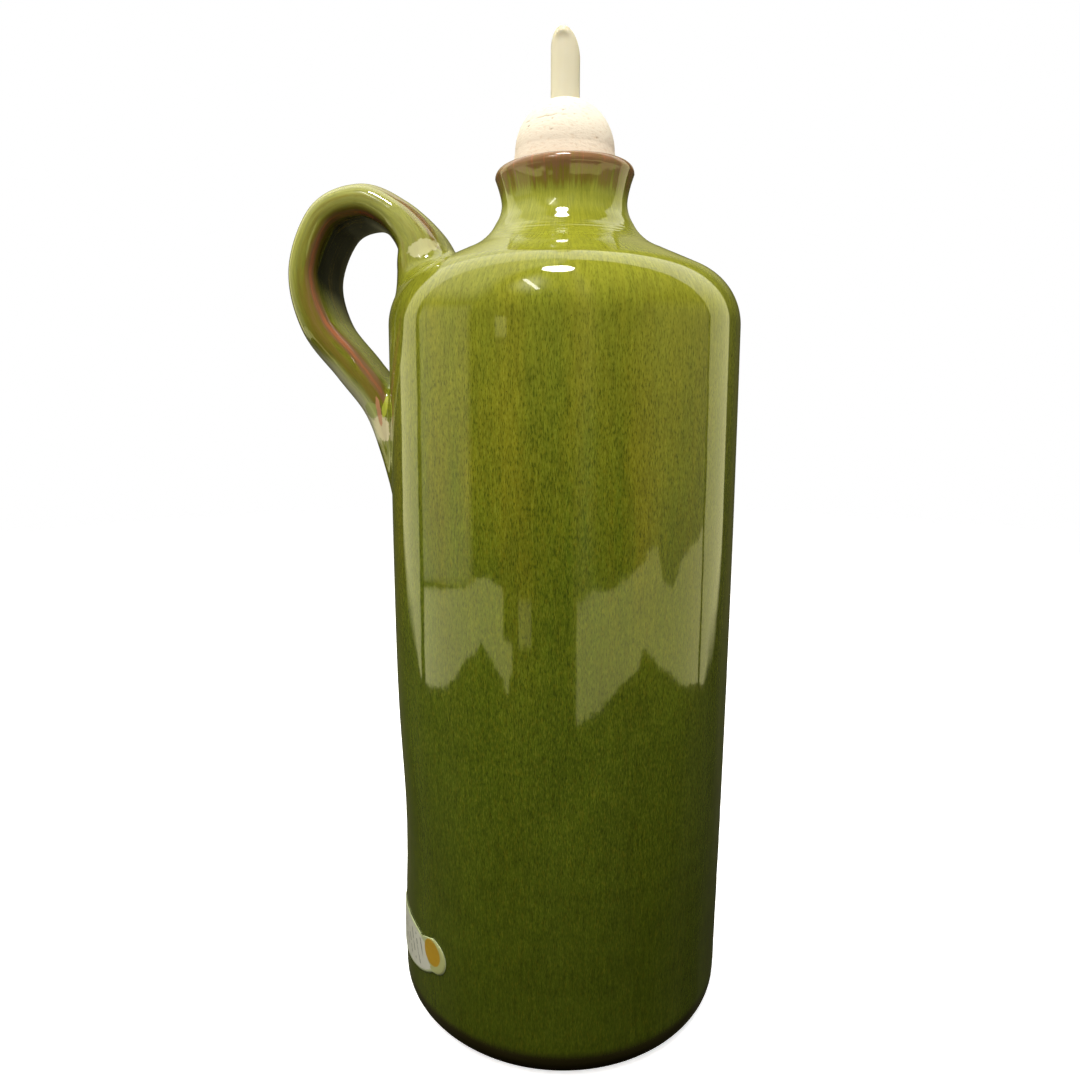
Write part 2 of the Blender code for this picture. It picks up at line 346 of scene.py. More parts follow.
def tall_belt(s, direction, azimuth, facing, z):
    """The belt behind both sides and overhead, and what lies in front of its dark line."""
    front_edge = s.ease(azimuth, -40.0, 40.0, BELT_FRONT_LEFT, BELT_FRONT_RIGHT)
    front_edge = s.times_plus(s.highest(z, 0.0), BELT_OVERHEAD, front_edge)
    wobble = s.times(s.minus(s.noise(direction, 14.0, 3.0), 0.5), BELT_WOBBLE)
    ahead = s.minus(facing, s.plus(front_edge, wobble))
    belt = s.times(s.ease(facing, BELT_BACK - 0.02, BELT_BACK), s.ease(ahead, 0.008, -0.004))
    gap = s.ease(azimuth, -40.0, 40.0, BELT_GAP, BELT_GAP_RIGHT)
    return belt, s.ease(s.minus(ahead, gap), -0.012, 0.004)


# %% The cards in front of the belt
LEFT_CARD_EDGE = 0.49
LEFT_CARD_SHARE = 0.66
LEFT_CARD_HEIGHTS = (-12.9, 26.0)
RIGHT_CARD_SHARE = 0.31
DOORWAY_SHARE = 0.22
WINDOW_TURNS = (-43.0, -34.3)
WINDOW_HEIGHTS = (5.1, 6.9)
WINDOW_SHARE = 1.10
LOW_CARD_SHARES = (1.19, 1.07)  # left, middle and right


def side_cards(s, azimuth, height, facing):
    """The broad card on the left and the faint one on the right, a doorway and a window."""
    left = s.times(
        s.ease(facing, LEFT_CARD_EDGE + 0.06, LEFT_CARD_EDGE - 0.05),
        s.ease(azimuth, 2.0, -2.0),
        s.between(height, *LEFT_CARD_HEIGHTS, 0.8),
        s.ease(height, 26.0, 10.0, 0.0, LEFT_CARD_SHARE),
    )
    right = s.times(s.ease(azimuth, 32.0, 66.0), s.ease(height, 30.0, 12.0, 0.0, RIGHT_CARD_SHARE))
    doorway = s.times(s.bell(azimuth, 14.0, 7.0), DOORWAY_SHARE)
    window = s.times(s.between(azimuth, *WINDOW_TURNS, 1.2), s.between(height, *WINDOW_HEIGHTS, 0.3))
    return left, right, doorway, s.times(window, WINDOW_SHARE)


def low_cards(s, azimuth, height, below_top):
    """The low cards, and the dark figure that stands before their middle, with a pale sliver."""
    figure_side = s.ease(height, -17.3, -16.6, -31.5, -37.5)
    figure = s.times(s.ease(s.minus(azimuth, figure_side), -0.8, 0.8), s.ease(azimuth, 10.3, 8.8))
    sliver = s.times(s.between(azimuth, -28.0, -18.5, 1.0), s.between(height, -17.8, -13.8, 0.6))
    figure = s.minus(figure, s.times(sliver, 0.6))
    seen = s.times(s.ease(below_top, -0.15, 0.15), s.minus(1.0, figure))
    return s.times(seen, s.ease(azimuth, -60.0, -20.0, *LOW_CARD_SHARES))


# %% The background
WARM_CARD = (1.0, 0.95, 0.35)
PALE_CARD = (1.0, 0.95, 0.48)
SKY_CARD = (1.0, 0.97, 0.86)
CARD_GLOW = 2.1
HALO_GLOW = 1.9
GROUND_GLOW = 0.07
WHITE = (1.0, 1.0, 1.0, 1.0)
DOME_COLOUR = (1.0, 0.98, 0.95, 1.0)
DOME_LOW = 0.03
DOME_HIGH = 0.31


def far_glows(s, azimuth, height, facing):
    """Pale sky high on the left, a faint glow behind, and the ceiling lamp's halo."""
    sky = s.times(s.ease(azimuth, -44.0, -70.0), s.ease(height, 12.0, 36.0, 0.0, 0.50))
    behind = s.times(s.ease(facing, -0.66, -0.90), s.ease(height, 8.0, 24.0, 0.0, 0.19))
    halo = s.times(s.bell(azimuth, -27.0, 10.0), s.bell(height, 51.0, 11.0), HALO_GLOW)
    return s.highest(sky, behind), halo


def card_glow(s, direction, azimuth, height, z):
    """How bright each direction is to mirrored light."""
    facing = s.vector("DOT_PRODUCT", direction, tuple(towards_camera))
    turned_away = s.math("ABSOLUTE", azimuth)
    leafy = s.minus(s.noise(direction, 42.0, 4.0), 0.5)
    leafy = s.times(leafy, s.ease(turned_away, 115.0, 80.0, 0.2, 1.1))
    above_foot = s.minus(height, s.plus(profile(s, azimuth, CARD_FOOT), leafy))
    below_top = s.minus(s.plus(profile(s, azimuth, LOW_CARD_TOP), leafy), height)
    belt, nearer = tall_belt(s, direction, azimuth, facing, z)
    cards = s.highest(*side_cards(s, azimuth, height, facing), low_cards(s, azimuth, height, below_top))
    glow = s.highest(s.times(cards, nearer), belt)
    soft_foot = s.ease(turned_away, 108.0, 117.0, 0.12, 5.0)
    glow = s.times(glow, s.ease(above_foot, -0.12, soft_foot))
    glow = s.highest(glow, *far_glows(s, azimuth, height, facing))
    # the ground before the cards is dim, not black
    ground = s.times(s.ease(height, -75.0, -24.0, 0.0, GROUND_GLOW), s.noise(direction, 2.5, 3.0))
    return s.highest(glow, ground)


def background():
    world = bpy.data.worlds.new("studio")
    bpy.context.scene.world = world
    world.use_nodes = True
    world.node_tree.nodes.clear()
    s = Steps(world.node_tree)

    def glowing(colour, strength):
        return s.add("ShaderNodeBackground", {"Color": colour, "Strength": strength}).outputs[0]

    direction = s.add("ShaderNodeTexCoord").outputs["Generated"]
    x, y, z = s.xyz(direction)
    turn = s.math("DEGREES", s.math("ARCTAN2", x, s.times(y, -1.0)))
    azimuth = s.minus(turn, math.degrees(CAMERA_AZIMUTH))
    height = s.math("DEGREES", s.math("ARCSINE", z))
    glow = s.times(card_glow(s, direction, azimuth, height, z), CARD_GLOW)
    aside = s.minus(s.math("ABSOLUTE", azimuth), s.ease(azimuth, -20.0, 20.0, 0.0, 35.0))
    card_colour = s.mix(s.ease(aside, 30.0, 95.0), WARM_CARD, PALE_CARD)
    mirrored = glowing(s.mix(s.ease(z, 0.30, 0.70), card_colour, SKY_CARD), glow)
    dome = glowing(DOME_COLOUR, s.ease(z, -0.25, 0.30, DOME_LOW, DOME_HIGH))
    path = s.add("ShaderNodeLightPath").outputs
    unseen = s.mix_shaders(path["Is Glossy Ray"], dome, mirrored)
    seen = s.mix_shaders(path["Is Camera Ray"], unseen, glowing(WHITE, 1.0))
    s.add("ShaderNodeOutputWorld", {"Surface": seen})
    world.cycles.sampling_method = "MANUAL"
    world.cycles.sample_map_resolution = 512


background()
print("cards:", len(CARD_FOOT), "knots along the foot,", len(LOW_CARD_TOP), "along the top")

# %% [markdown]
# The lamps stand close to the bottle and high, as they would on a small table set. A near lamp
# loses strength quickly with distance, so the shoulder gets several times the light that the foot
# gets. Two lamps are only mirrored and light nothing: the ceiling mark and the tube, which make
# the small hard highlights. All the others only light, and the glaze doesn't mirror them. They
# stand on all sides, so that the back isn't in the dark.


# %% The lamps
LAMP_COLOUR = (1.0, 0.97, 0.92)
MIDDLE = Vector((0.0, 0.0, 0.15))


def area_light(name, place, aim, size, watts, mirrored=False, shape="DISK"):
    """A lamp that the glaze mirrors, or one that only lights it softly."""
    data = bpy.data.lights.new(name, "AREA")
    data.shape = shape
    data.size, data.size_y = size
    data.energy = watts
    data.color = LAMP_COLOUR
    light = put_in_scene(name, data)
    light.location = place
    light.rotation_euler = (Vector(aim) - Vector(place)).to_track_quat("-Z", "Y").to_euler()
    light.visible_glossy, light.visible_diffuse = mirrored, not mirrored
    light.visible_camera = False
    return light


def way_out(turn, height):
    """The direction at this turn from the camera's side and this height, in degrees."""
    turn = CAMERA_AZIMUTH + math.radians(turn)
    level = math.cos(math.radians(height))
    return Vector((math.sin(turn) * level, -math.cos(turn) * level, math.sin(math.radians(height))))


CEILING_PLACE = (-0.02, -0.24, 1.15)
CEILING_AIM = (0.0, 0.0, 0.20)
area_light("ceiling mark", CEILING_PLACE, CEILING_AIM, (0.23, 0.21), 7.5, True, "ELLIPSE")
area_light("ceiling lamp", CEILING_PLACE, CEILING_AIM, (0.20, 0.20), 4.0)

# name, turn from the camera's side, distance out, height, watts
FILLS = (
    ("front fill", -12.0, 0.30, 0.43, 1.26),
    ("left fill", -92.0, 0.30, 0.43, 0.72),
    ("right fill", 74.0, 0.18, 0.36, 0.25),
    ("back fill", 178.0, 0.30, 0.43, 1.10),
    ("table bounce", -55.0, 0.20, 0.01, 0.06),
)
for name, turn, out, lamp_height, watts in FILLS:
    spot = way_out(turn, 0.0) * out + Vector((0.0, 0.0, lamp_height))
    area_light(name, spot, MIDDLE, (out * 0.6, out * 0.6), watts)

# %% The tube lamp
TUBE_AWAY = 1.5
TUBE_ENDS = [way_out(turn, height) * TUBE_AWAY for turn, height in ((-35.0, 56.0), (-18.0, 40.0))]
TUBE_WIDTH = 0.06
TUBE_WATTS = 1.3
TUBE_RAISED = Vector((0.0, 0.0, 0.19))  # its ends' directions are meant from the shoulder's height

along_tube = TUBE_ENDS[1] - TUBE_ENDS[0]
tube_middle = (TUBE_ENDS[0] + TUBE_ENDS[1]) / 2
tube_size = (along_tube.length, TUBE_WIDTH)
tube_lamp = area_light("tube", tube_middle, MIDDLE, tube_size, TUBE_WATTS, True, "RECTANGLE")
along_tube.normalize()
beside_tube = tube_middle.cross(along_tube).normalized()
turned = Matrix((along_tube, beside_tube, along_tube.cross(beside_tube))).transposed().to_4x4()
tube_lamp.matrix_world = Matrix.Translation(tube_middle + TUBE_RAISED) @ turned

# %% [markdown]
# The floor is a wide pale disc that fades into the background at its rim. Mirrored and bounced
# light don't see it, so that the lower half of the bottle stays as deep as its glaze is. It glows
# a little, which keeps the bottle's soft shadow on it faint.

# %% The floor
FLOOR_RADIUS = 3.0
FLOOR_SIDES = 64
FLOOR_FADES = (0.35, 1.1)
FLOOR_COLOUR = (0.93, 0.93, 0.92, 1.0)
FLOOR_GLOW = 0.72


def make_floor():
    material = bpy.data.materials.new("pale_floor")
    material.use_nodes = True
    material.node_tree.nodes.clear()
    s = Steps(material.node_tree)
    from_middle = s.vector("LENGTH", s.add("ShaderNodeTexCoord").outputs["Object"])
    matt = s.add("ShaderNodeBsdfDiffuse", {"Color": FLOOR_COLOUR}).outputs[0]
    glow = s.add("ShaderNodeEmission", {"Color": WHITE, "Strength": FLOOR_GLOW}).outputs[0]
    lit = s.add("ShaderNodeAddShader", {0: matt, 1: glow}).outputs[0]
    clear = s.add("ShaderNodeBsdfTransparent").outputs[0]
    faded = s.mix_shaders(s.ease(from_middle, *FLOOR_FADES), lit, clear)
    s.add("ShaderNodeOutputMaterial", {"Surface": faded})
    turns = [2 * math.pi * side / FLOOR_SIDES for side in range(FLOOR_SIDES)]
    corners = [(FLOOR_RADIUS * math.cos(turn), FLOOR_RADIUS * math.sin(turn), 0.0) for turn in turns]
    mesh = bpy.data.meshes.new("floor")
    mesh.from_pydata(corners, [], [range(FLOOR_SIDES)])
    mesh.materials.append(material)
    floor = put_in_scene("floor", mesh)
    floor.visible_glossy = False
    floor.visible_diffuse = False


make_floor()
bpy.context.scene.view_settings.view_transform = "Standard"

# %% [markdown]
# ## The turned outline
#
# A turned pot could be made with the Screw modifier or with bmesh's spin. Here its outline is an
# object of its own, a line of corners that holds each corner's distance along the line, and a
# small Geometry Nodes tree turns it. That keeps the distance for the glaze to run along later.
# The foot, shoulder and lip are arcs and the neck is two Bezier curves, so that every stretch can
# have as many corners as its curve needs.


# %% Arcs, curves and straight lines
def arc(centre, radius, start, end, steps):
    angles = np.linspace(start, end, steps + 1)
    return [(centre[0] + radius * math.cos(a), centre[1] + radius * math.sin(a)) for a in angles]


def bezier(start, pull_start, pull_end, end, steps):
    points = []
    for t in np.linspace(0.0, 1.0, steps + 1):
        weights = ((1 - t) ** 3, 3 * t * (1 - t) ** 2, 3 * t * t * (1 - t), t**3)
        knots = (start, pull_start, pull_end, end)
        points.append(tuple(sum(w * k[axis] for w, k in zip(weights, knots)) for axis in (0, 1)))
    return points


def straight(start, end, steps):
    way = np.subtract(end, start)
    return [tuple(np.add(start, way * t)) for t in np.linspace(0.0, 1.0, steps + 1)]


# %% The bottle's outline
def wall_radius(height):
    return BASE_RADIUS + BELLY * math.sin(math.pi * min(height / BELLY_REACH, 1.0))


def bore_radius(height):
    share = (height - BORE_FLOOR) / (LIP_EDGE[1] - BORE_FLOOR)
    return BORE_FLOOR_RADIUS + (MOUTH_RADIUS - BORE_FLOOR_RADIUS) * share


def bottle_outline():
    """(radius, height) from the middle of the base, up the outside and down into the neck."""
    flat = BASE_RADIUS - FOOT_ROUND
    points = straight((0.0, 0.0), (flat, 0.0), 8)
    points += arc((flat, FOOT_ROUND), FOOT_ROUND, -math.pi / 2, 0, 12)[1:]
    for height in np.linspace(FOOT_ROUND, WALL_TOP, 191)[1:-1]:
        points.append((wall_radius(height), height))
    centre = (wall_radius(WALL_TOP) - SHOULDER_ROUND, WALL_TOP)
    points += arc(centre, SHOULDER_ROUND, 0, math.pi / 2 - SHOULDER_SLOPE, 26)
    slope = (-math.cos(SHOULDER_SLOPE), math.sin(SHOULDER_SLOPE))
    points += straight(points[-1], NECK_FOOT, 14)[1:]
    pull_start = tuple(NECK_FOOT[axis] + NECK_FOOT_PULL * slope[axis] for axis in (0, 1))
    pull_end = (NECK_WAIST[0], NECK_WAIST[1] - NECK_WAIST_PULL)
    points += bezier(NECK_FOOT, pull_start, pull_end, NECK_WAIST, 84)[1:]
    pull_start = (NECK_WAIST[0], NECK_WAIST[1] + LIP_WAIST_PULL)
    pull_end = (LIP_EDGE[0] - LIP_EDGE_PULL[0], LIP_EDGE[1] - LIP_EDGE_PULL[1])
    points += bezier(NECK_WAIST, pull_start, pull_end, LIP_EDGE, 14)[1:]
    points += arc((LIP_EDGE[0] - LIP_ROUND, LIP_EDGE[1]), LIP_ROUND, 0, math.pi, 16)[1:]
    points += straight(points[-1], (BORE_FLOOR_RADIUS, BORE_FLOOR), 8)[1:]
    points += straight(points[-1], (0.0, BORE_FLOOR), 3)[1:]
    return points


def outline_object(name, points):
    """The outline as a line of corners in the XZ plane, with the distance along it in 'run'."""
    mesh = bpy.data.meshes.new(name)
    joins = [(index, index + 1) for index in range(len(points) - 1)]
    mesh.from_pydata([(radius, 0.0, height) for radius, height in points], joins, [])
    lengths = np.linalg.norm(np.diff(points, axis=0), axis=1)
    run = np.concatenate([[0.0], np.cumsum(lengths)])
    mesh.attributes.new("run", "FLOAT", "POINT").data.foreach_set("value", run)
    print(name, len(points), "corners,", round(run[-1] / MM, 1), "mm long")
    return put_in_scene(name, mesh)


# %% [markdown]
# ## Turning as a node group
#
# The group lays a flat grid, reads each row's corner from the outline, and bends the row round
# the axis: column number becomes an angle. Merging by distance then closes the seam and the two
# poles. The bottle and the cork both use it, so the wheel is built once.


# %% Shared steps of the trees
def place(s):
    """Where each point is."""
    return s.add("GeometryNodeInputPosition").outputs[0]


def read(s, name):
    """A number that the geometry already carries under this name."""
    return s.add("GeometryNodeInputNamedAttribute", {"Name": name}, data_type="FLOAT").outputs["Attribute"]


def keep(s, geometry, name, value, kind="FLOAT"):
    """The geometry with this value stored on its points."""
    inputs = {"Geometry": geometry, "Name": name, "Value": value}
    return s.add("GeometryNodeStoreNamedAttribute", inputs, data_type=kind).outputs["Geometry"]


def move(s, geometry, **how):
    """The geometry with its points put at a Position, or moved by an Offset."""
    return s.add("GeometryNodeSetPosition", {"Geometry": geometry, **how}).outputs[0]


def finishing_steps(s, geometry, material):
    """The tail that every tree here ends in: smooth shading, real geometry, its material."""
    smooth = s.add("GeometryNodeSetShadeSmooth", {"Geometry": geometry}).outputs[0]
    real = s.add("GeometryNodeRealizeInstances", {"Geometry": smooth}).outputs[0]
    return s.add("GeometryNodeSetMaterial", {"Geometry": real, "Material": material}).outputs[0]


def run_nodes(obj, tree, values):
    """Runs a Geometry Nodes tree on an object, and leaves the result as its plain mesh."""
    modifier = obj.modifiers.new("nodes", "NODES")
    modifier.node_group = tree
    for item in tree.interface.items_tree:
        if item.in_out == "INPUT" and item.name in values:
            modifier[item.identifier] = values[item.name]
    bpy.context.view_layer.update()
    graph = bpy.context.evaluated_depsgraph_get()
    ready = obj.evaluated_get(graph)
    mesh = bpy.data.meshes.new_from_object(ready, preserve_all_data_layers=True, depsgraph=graph)
    obj.modifiers.remove(modifier)
    obj.data = mesh
    mesh.name = obj.name
    return mesh


# %% The wheel
def wheel_group():
    s, given, made = new_group(
        "GeometryNodeTree",
        "turn on the wheel",
        {"Outline": ("NodeSocketGeometry", None), "Sides": ("NodeSocketInt", 64)},
        {"Surface": "NodeSocketGeometry"},
    )
    outline = given["Outline"]
    rows = s.add("GeometryNodeAttributeDomainSize", {"Geometry": outline}).outputs["Point Count"]
    size = {"Size X": 1.0, "Size Y": 1.0, "Vertices X": s.plus(given["Sides"], 1.0), "Vertices Y": rows}
    grid = s.add("GeometryNodeMeshGrid", size).outputs["Mesh"]
    across, down, _ = s.xyz(place(s))
    angle = s.times(s.plus(across, 0.5), 2 * math.pi)
    row = s.math("ROUND", s.times(s.plus(down, 0.5), s.minus(rows, 1.0)))

    def of_corner(value, kind):
        """What the outline's corner in this row holds."""
        inputs = {"Geometry": outline, "Value": value, "Index": row}
        return s.add("GeometryNodeSampleIndex", inputs, data_type=kind).outputs["Value"]

    corner = of_corner(place(s), "FLOAT_VECTOR")
    surface = keep(s, grid, "run", of_corner(read(s, "run"), "FLOAT"))
    surface = keep(s, surface, "angle", angle)
    radius, _, height = s.xyz(corner)
    x = s.times(radius, s.math("COSINE", angle))
    y = s.times(radius, s.math("SINE", angle))
    surface = move(s, surface, Position=s.from_xyz(x, y, height))
    closing = {"Geometry": surface, "Distance": 1e-6}
    s.put(made["Surface"], s.add("GeometryNodeMergeByDistance", closing).outputs[0])
    return s.tree


WHEEL = wheel_group()


def on_the_wheel(s, given):
    """The wheel's surface, for a tree that has the inputs Outline and Sides."""
    node = s.add("GeometryNodeGroup", (), node_tree=WHEEL)
    for name in ("Outline", "Sides"):
        s.put(node.inputs[name], given[name])
    return node.outputs["Surface"]


# %% [markdown]
# ## Shared surface effects
#
# Three effects are used by more than one material, so each is a shader group. `fibres` is a noise
# drawn out along one axis: runs in glaze, dashes in cork, faint drag lines on the tube. `specks`
# scatters small round spots of random strength: pinholes, iron specks, cork pores. `lumps` is a
# gentle height for a Bump node, which makes mirrored edges wander as they do on a hand-made wall.


# %% Shader groups
def effect_group(name, numbers, output="Fac"):
    """An empty shader group with a Vector input, these numbers as inputs, and one output."""
    inputs = {"Vector": ("NodeSocketVector", None)}
    inputs.update((label, ("NodeSocketFloat", value)) for label, value in numbers.items())
    return new_group("ShaderNodeTree", name, inputs, {output: "NodeSocketFloat"})


def fibres_group():
    numbers = {"Width": 0.001, "Length": 0.01, "Detail": 2.0, "Sharpness": 1.0}
    s, given, made = effect_group("fibres", numbers)
    across = s.math("DIVIDE", 1.0, given["Width"])
    along = s.math("DIVIDE", 1.0, given["Length"])
    spot = s.vector("MULTIPLY", given["Vector"], s.from_xyz(across, across, along))
    centred = s.minus(s.noise(spot, 1.0, given["Detail"]), 0.5)
    sharp = s.times_plus(centred, given["Sharpness"], 0.5)
    s.put(made["Fac"], s.math("MINIMUM", s.highest(sharp, 0.0), 1.0))
    return s.tree


def specks_group():
    s, given, made = effect_group("specks", {"Spacing": 0.003, "Size": 0.2, "Share": 0.3})
    spot = s.vector("SCALE", given["Vector"], scale=s.math("DIVIDE", 1.0, given["Spacing"]))
    cells = s.add("ShaderNodeTexVoronoi", {"Vector": spot, "Scale": 1.0}).outputs
    luck = s.add("ShaderNodeSeparateColor", {0: cells["Color"]}).outputs
    chosen = s.math("LESS_THAN", luck[0], given["Share"])
    size = s.times(given["Size"], s.times_plus(luck[1], 0.8, 0.4))
    inside = s.ease(s.math("DIVIDE", cells["Distance"], size), 1.0, 0.5)
    s.put(made["Fac"], s.times(inside, chosen))
    return s.tree


def lumps_group():
    s, given, made = effect_group("lumps", {"Broad": 0.02, "Fine": 0.003, "Fine Share": 0.2}, "Height")
    heights = []
    for size in ("Broad", "Fine"):
        spot = s.vector("SCALE", given["Vector"], scale=s.math("DIVIDE", 1.0, given[size]))
        heights.append(s.noise(spot, 1.0, 1.0))
    s.put(made["Height"], s.times_plus(heights[1], given["Fine Share"], heights[0]))
    return s.tree


FIBRES, SPECKS, LUMPS = fibres_group(), specks_group(), lumps_group()


# %% Starting and filling a material
def new_material(name, **sockets):
    """A material with a Principled shader whose constant sockets are set, and its Steps."""
    material = bpy.data.materials.new(name)
    material.use_nodes = True
    material.node_tree.nodes.clear()
    s = Steps(material.node_tree)
    constants = {key.replace("_", " "): value for key, value in sockets.items()}
    shader = s.add("ShaderNodeBsdfPrincipled", constants)
    s.add("ShaderNodeOutputMaterial", {"Surface": shader.outputs[0]})
    return material, s, shader.inputs


def effect(s, group, vector, **numbers):
    """Places one of the shared groups, and gives its only output."""
    node = s.add("ShaderNodeGroup", (), node_tree=group)
    s.put(node.inputs["Vector"], vector)
    for key, value in numbers.items():
        s.put(node.inputs[key.replace("_", " ")], value)
    return node.outputs[0]


def fibres(s, vector, width, length, detail, sharpness):
    return effect(s, FIBRES, vector, Width=width, Length=length, Detail=detail, Sharpness=sharpness)


def attribute(s, name, output="Fac"):
    """What the mesh carries under this name."""
    return s.add("ShaderNodeAttribute", (), attribute_name=name).outputs[output]


def object_spot(s):
    """The point itself, in metres, because every finished piece sits at the origin."""
    return s.add("ShaderNodeTexCoord").outputs["Object"]


def set_bump(s, shader, height, distance, strength):
    inputs = {"Strength": strength, "Distance": distance, "Height": height}
    s.put(shader["Normal"], s.add("ShaderNodeBump", inputs).outputs[0])


# %% [markdown]
# ## Green glaze
#
# The glaze is one coat of runny glass. Where it is thick it is green, where it ran thinner it
# turns ochre in long vertical bands, and where it pulled off an edge the iron in the clay burns
# through red-brown. It could be painted on an image, but then it would need unwrapping and would
# blur up close. Here every layer is a noise drawn out along `flow`, an attribute that each part of
# the bottle carries: two of its numbers go round the bottle and the third is the distance down
# the outline, so that the streaks bend over the shoulder and run along the handle. A second
# attribute, `thin`, says where the coat is thin. The strap also has `inner`, a painted shade on its
# inside, and `milky`, a painted reflection of the pale sky. The colour also carries painted light
# and shade: it grows paler up the wall, partly its own colour and partly painted light, and darker
# towards the foot with painted shade.

# %% The glaze's full coat
GLAZE_DEEP = (0.114, 0.160, 0.008)
GLAZE_OCHRE = (0.205, 0.192, 0.008)
# the paler coat of the upper wall: partly its own colour, partly painted light where the lamps above light
# it most
GLAZE_PALE_AND_LIT = (0.230, 0.238, 0.020)
GLAZE_NECK = (0.264, 0.277, 0.036)
GLAZE_DARK_FIBRE = (0.040, 0.058, 0.004)
GLAZE_PALE_FIBRE = (0.300, 0.320, 0.034)
# Broad runs on the front: turn from -Y towards +X in degrees, half width, strength.
OCHRE_RUNS = ((-10.0, 4.5, 1.0), (9.0, 1.6, 0.5), (18.0, 3.0, 0.6), (27.0, 3.5, 0.8), (46.0, 8.0, 0.3))
GREEN_RUNS = ((-20.0, 4.0, 0.8), (2.0, 4.5, 0.4))
RUN_PULL = 0.6
# Heights between which the coat changes.
OCHRE_FROM = (0.080, 0.155)
# where the coat grows paler up the wall, partly as painted light
PALE_AND_LIT_FROM = (0.130, 0.203)
RUN_FRONTS = (0.1832, 0.1858)
NECK_COAT_FROM = (0.2050, 0.2085)
NECK_SIDE = (-0.034, -0.026)  # the neck's x, which keeps the neck's coat off the handle


def ochre_share(s, flow, turn, height, runs):
    """How far the green turns to ochre: bands and runs, and small flecks."""
    share = fibres(s, flow, 0.009, 0.09, 2.0, 3.0)
    for sign, wide_runs in ((1.0, OCHRE_RUNS), (-1.0, GREEN_RUNS)):
        for middle, half_width, strength in wide_runs:
            share = s.times_plus(s.bell(turn, middle, half_width), sign * strength * RUN_PULL, share)
    share = s.times_plus(runs, 0.30, s.times(share, 0.70))
    share = s.times(share, s.ease(height, *OCHRE_FROM, 0.06, 1.0))
    flecks = fibres(s, s.vector("ADD", flow, (0.3, 0.2, 0.1)), 0.0005, 0.0016, 2.0, 2.6)
    return s.plus(share, s.ease(flecks, 0.60, 0.95, 0.0, 0.35))


def glaze_clouds_and_painted_shade(s, flow, spot, height):
    """A grey that darkens the coat in soft clouds, and a painted shade that darkens it towards the foot.
    """
    medium = fibres(s, flow, 0.0007, 0.0045, 2.0, 2.6)
    clouds = fibres(s, spot, 0.014, 0.022, 2.0, 2.0)
    shade = s.times_plus(clouds, 0.24, s.times_plus(medium, 0.34, 0.72))
    # painted shade: the coat darkens towards the foot, where less light falls
    shade = s.times(shade, s.ease(height, -0.02, 0.20, 0.50, 1.0))
    return s.add("ShaderNodeCombineColor", {0: shade, 1: shade, 2: shade}).outputs[0]


def glaze_body(s, flow, spot, height, fine, runs):
    """The coat's colour where it lies full: bands, runs and fibres, paler up the wall, partly as painted
    light, and darker towards the foot as painted shade.
    """
    x, y, _ = s.xyz(spot)
    wander = s.minus(fibres(s, flow, 0.03, 0.012, 2.0, 1.0), 0.5)
    turn = s.math("DEGREES", s.math("ARCTAN2", x, s.times(y, -1.0)))
    turn = s.times_plus(wander, 9.0, turn)
    colour = s.mix(ochre_share(s, flow, turn, height, runs), GLAZE_DEEP, GLAZE_OCHRE)
    front = s.times_plus(wander, 0.010, height)
    # paler up the wall: partly its own colour, partly painted light from above; the runs' fronts are paler
    # too
    painted_light_and_run_fronts = s.plus(s.ease(height, *PALE_AND_LIT_FROM, 0.0, 0.76), s.ease(front, *RUN_FRONTS, 0.0, 0.15))
    colour = s.mix(painted_light_and_run_fronts, colour, GLAZE_PALE_AND_LIT)
    on_neck = s.times(s.ease(height, *NECK_COAT_FROM, 0.0, 0.85), s.ease(x, *NECK_SIDE))
    colour = s.mix(on_neck, colour, GLAZE_NECK)
    # the fibres are bold low down, and melt away on the neck
    bold = s.times(s.ease(height, 0.160, 0.205, 0.85, 0.30), s.ease(height, 0.09, 0.02, 1.0, 0.62))
    colour = s.mix(s.times(s.ease(fine, 0.46, 0.06, 0.0, 0.80), bold), colour, GLAZE_DARK_FIBRE)
    colour = s.mix(s.times(s.ease(fine, 0.56, 0.95, 0.0, 0.40), bold), colour, GLAZE_PALE_FIBRE)
    return s.mix(1.0, colour, glaze_clouds_and_painted_shade(s, flow, spot, height), "MULTIPLY")


# %% [markdown]
# Both ends of the handle were pressed on. At the tail the coat was smeared and rubbed off; on the
# root a pale patch is a painted reflection of a mirrored card. Each mark is an ellipse with a ragged
# edge, laid on the side towards -Y. They are few and each is different, so they are listed one by one.

# %% The handle's marks
# middle (x, z), half width and half length, lean in degrees, share, colour
HANDLE_MARKS = {
    "bare tip": ((-0.0453, 0.1559), (0.0020, 0.0033), 14.0, 1.00, (0.640, 0.570, 0.340)),
    "thumb pad": ((-0.0480, 0.1604), (0.0016, 0.0020), 10.0, 0.70, (0.330, 0.370, 0.100)),
    "bare crease": ((-0.0459, 0.1600), (0.0005, 0.0038), 8.0, 0.80, (0.520, 0.240, 0.130)),
    "pooled glaze": ((-0.0444, 0.1613), (0.0006, 0.0027), -8.0, 0.85, (0.430, 0.470, 0.050)),
    # painted reflection: the pale patch where a card is mirrored on the root
    "painted root reflection": ((-0.0330, 0.1991), (0.0034, 0.0019), 25.0, 0.62, (0.620, 0.590, 0.340)),
}
MARKED_SIDE = (-0.0080, -0.0092)


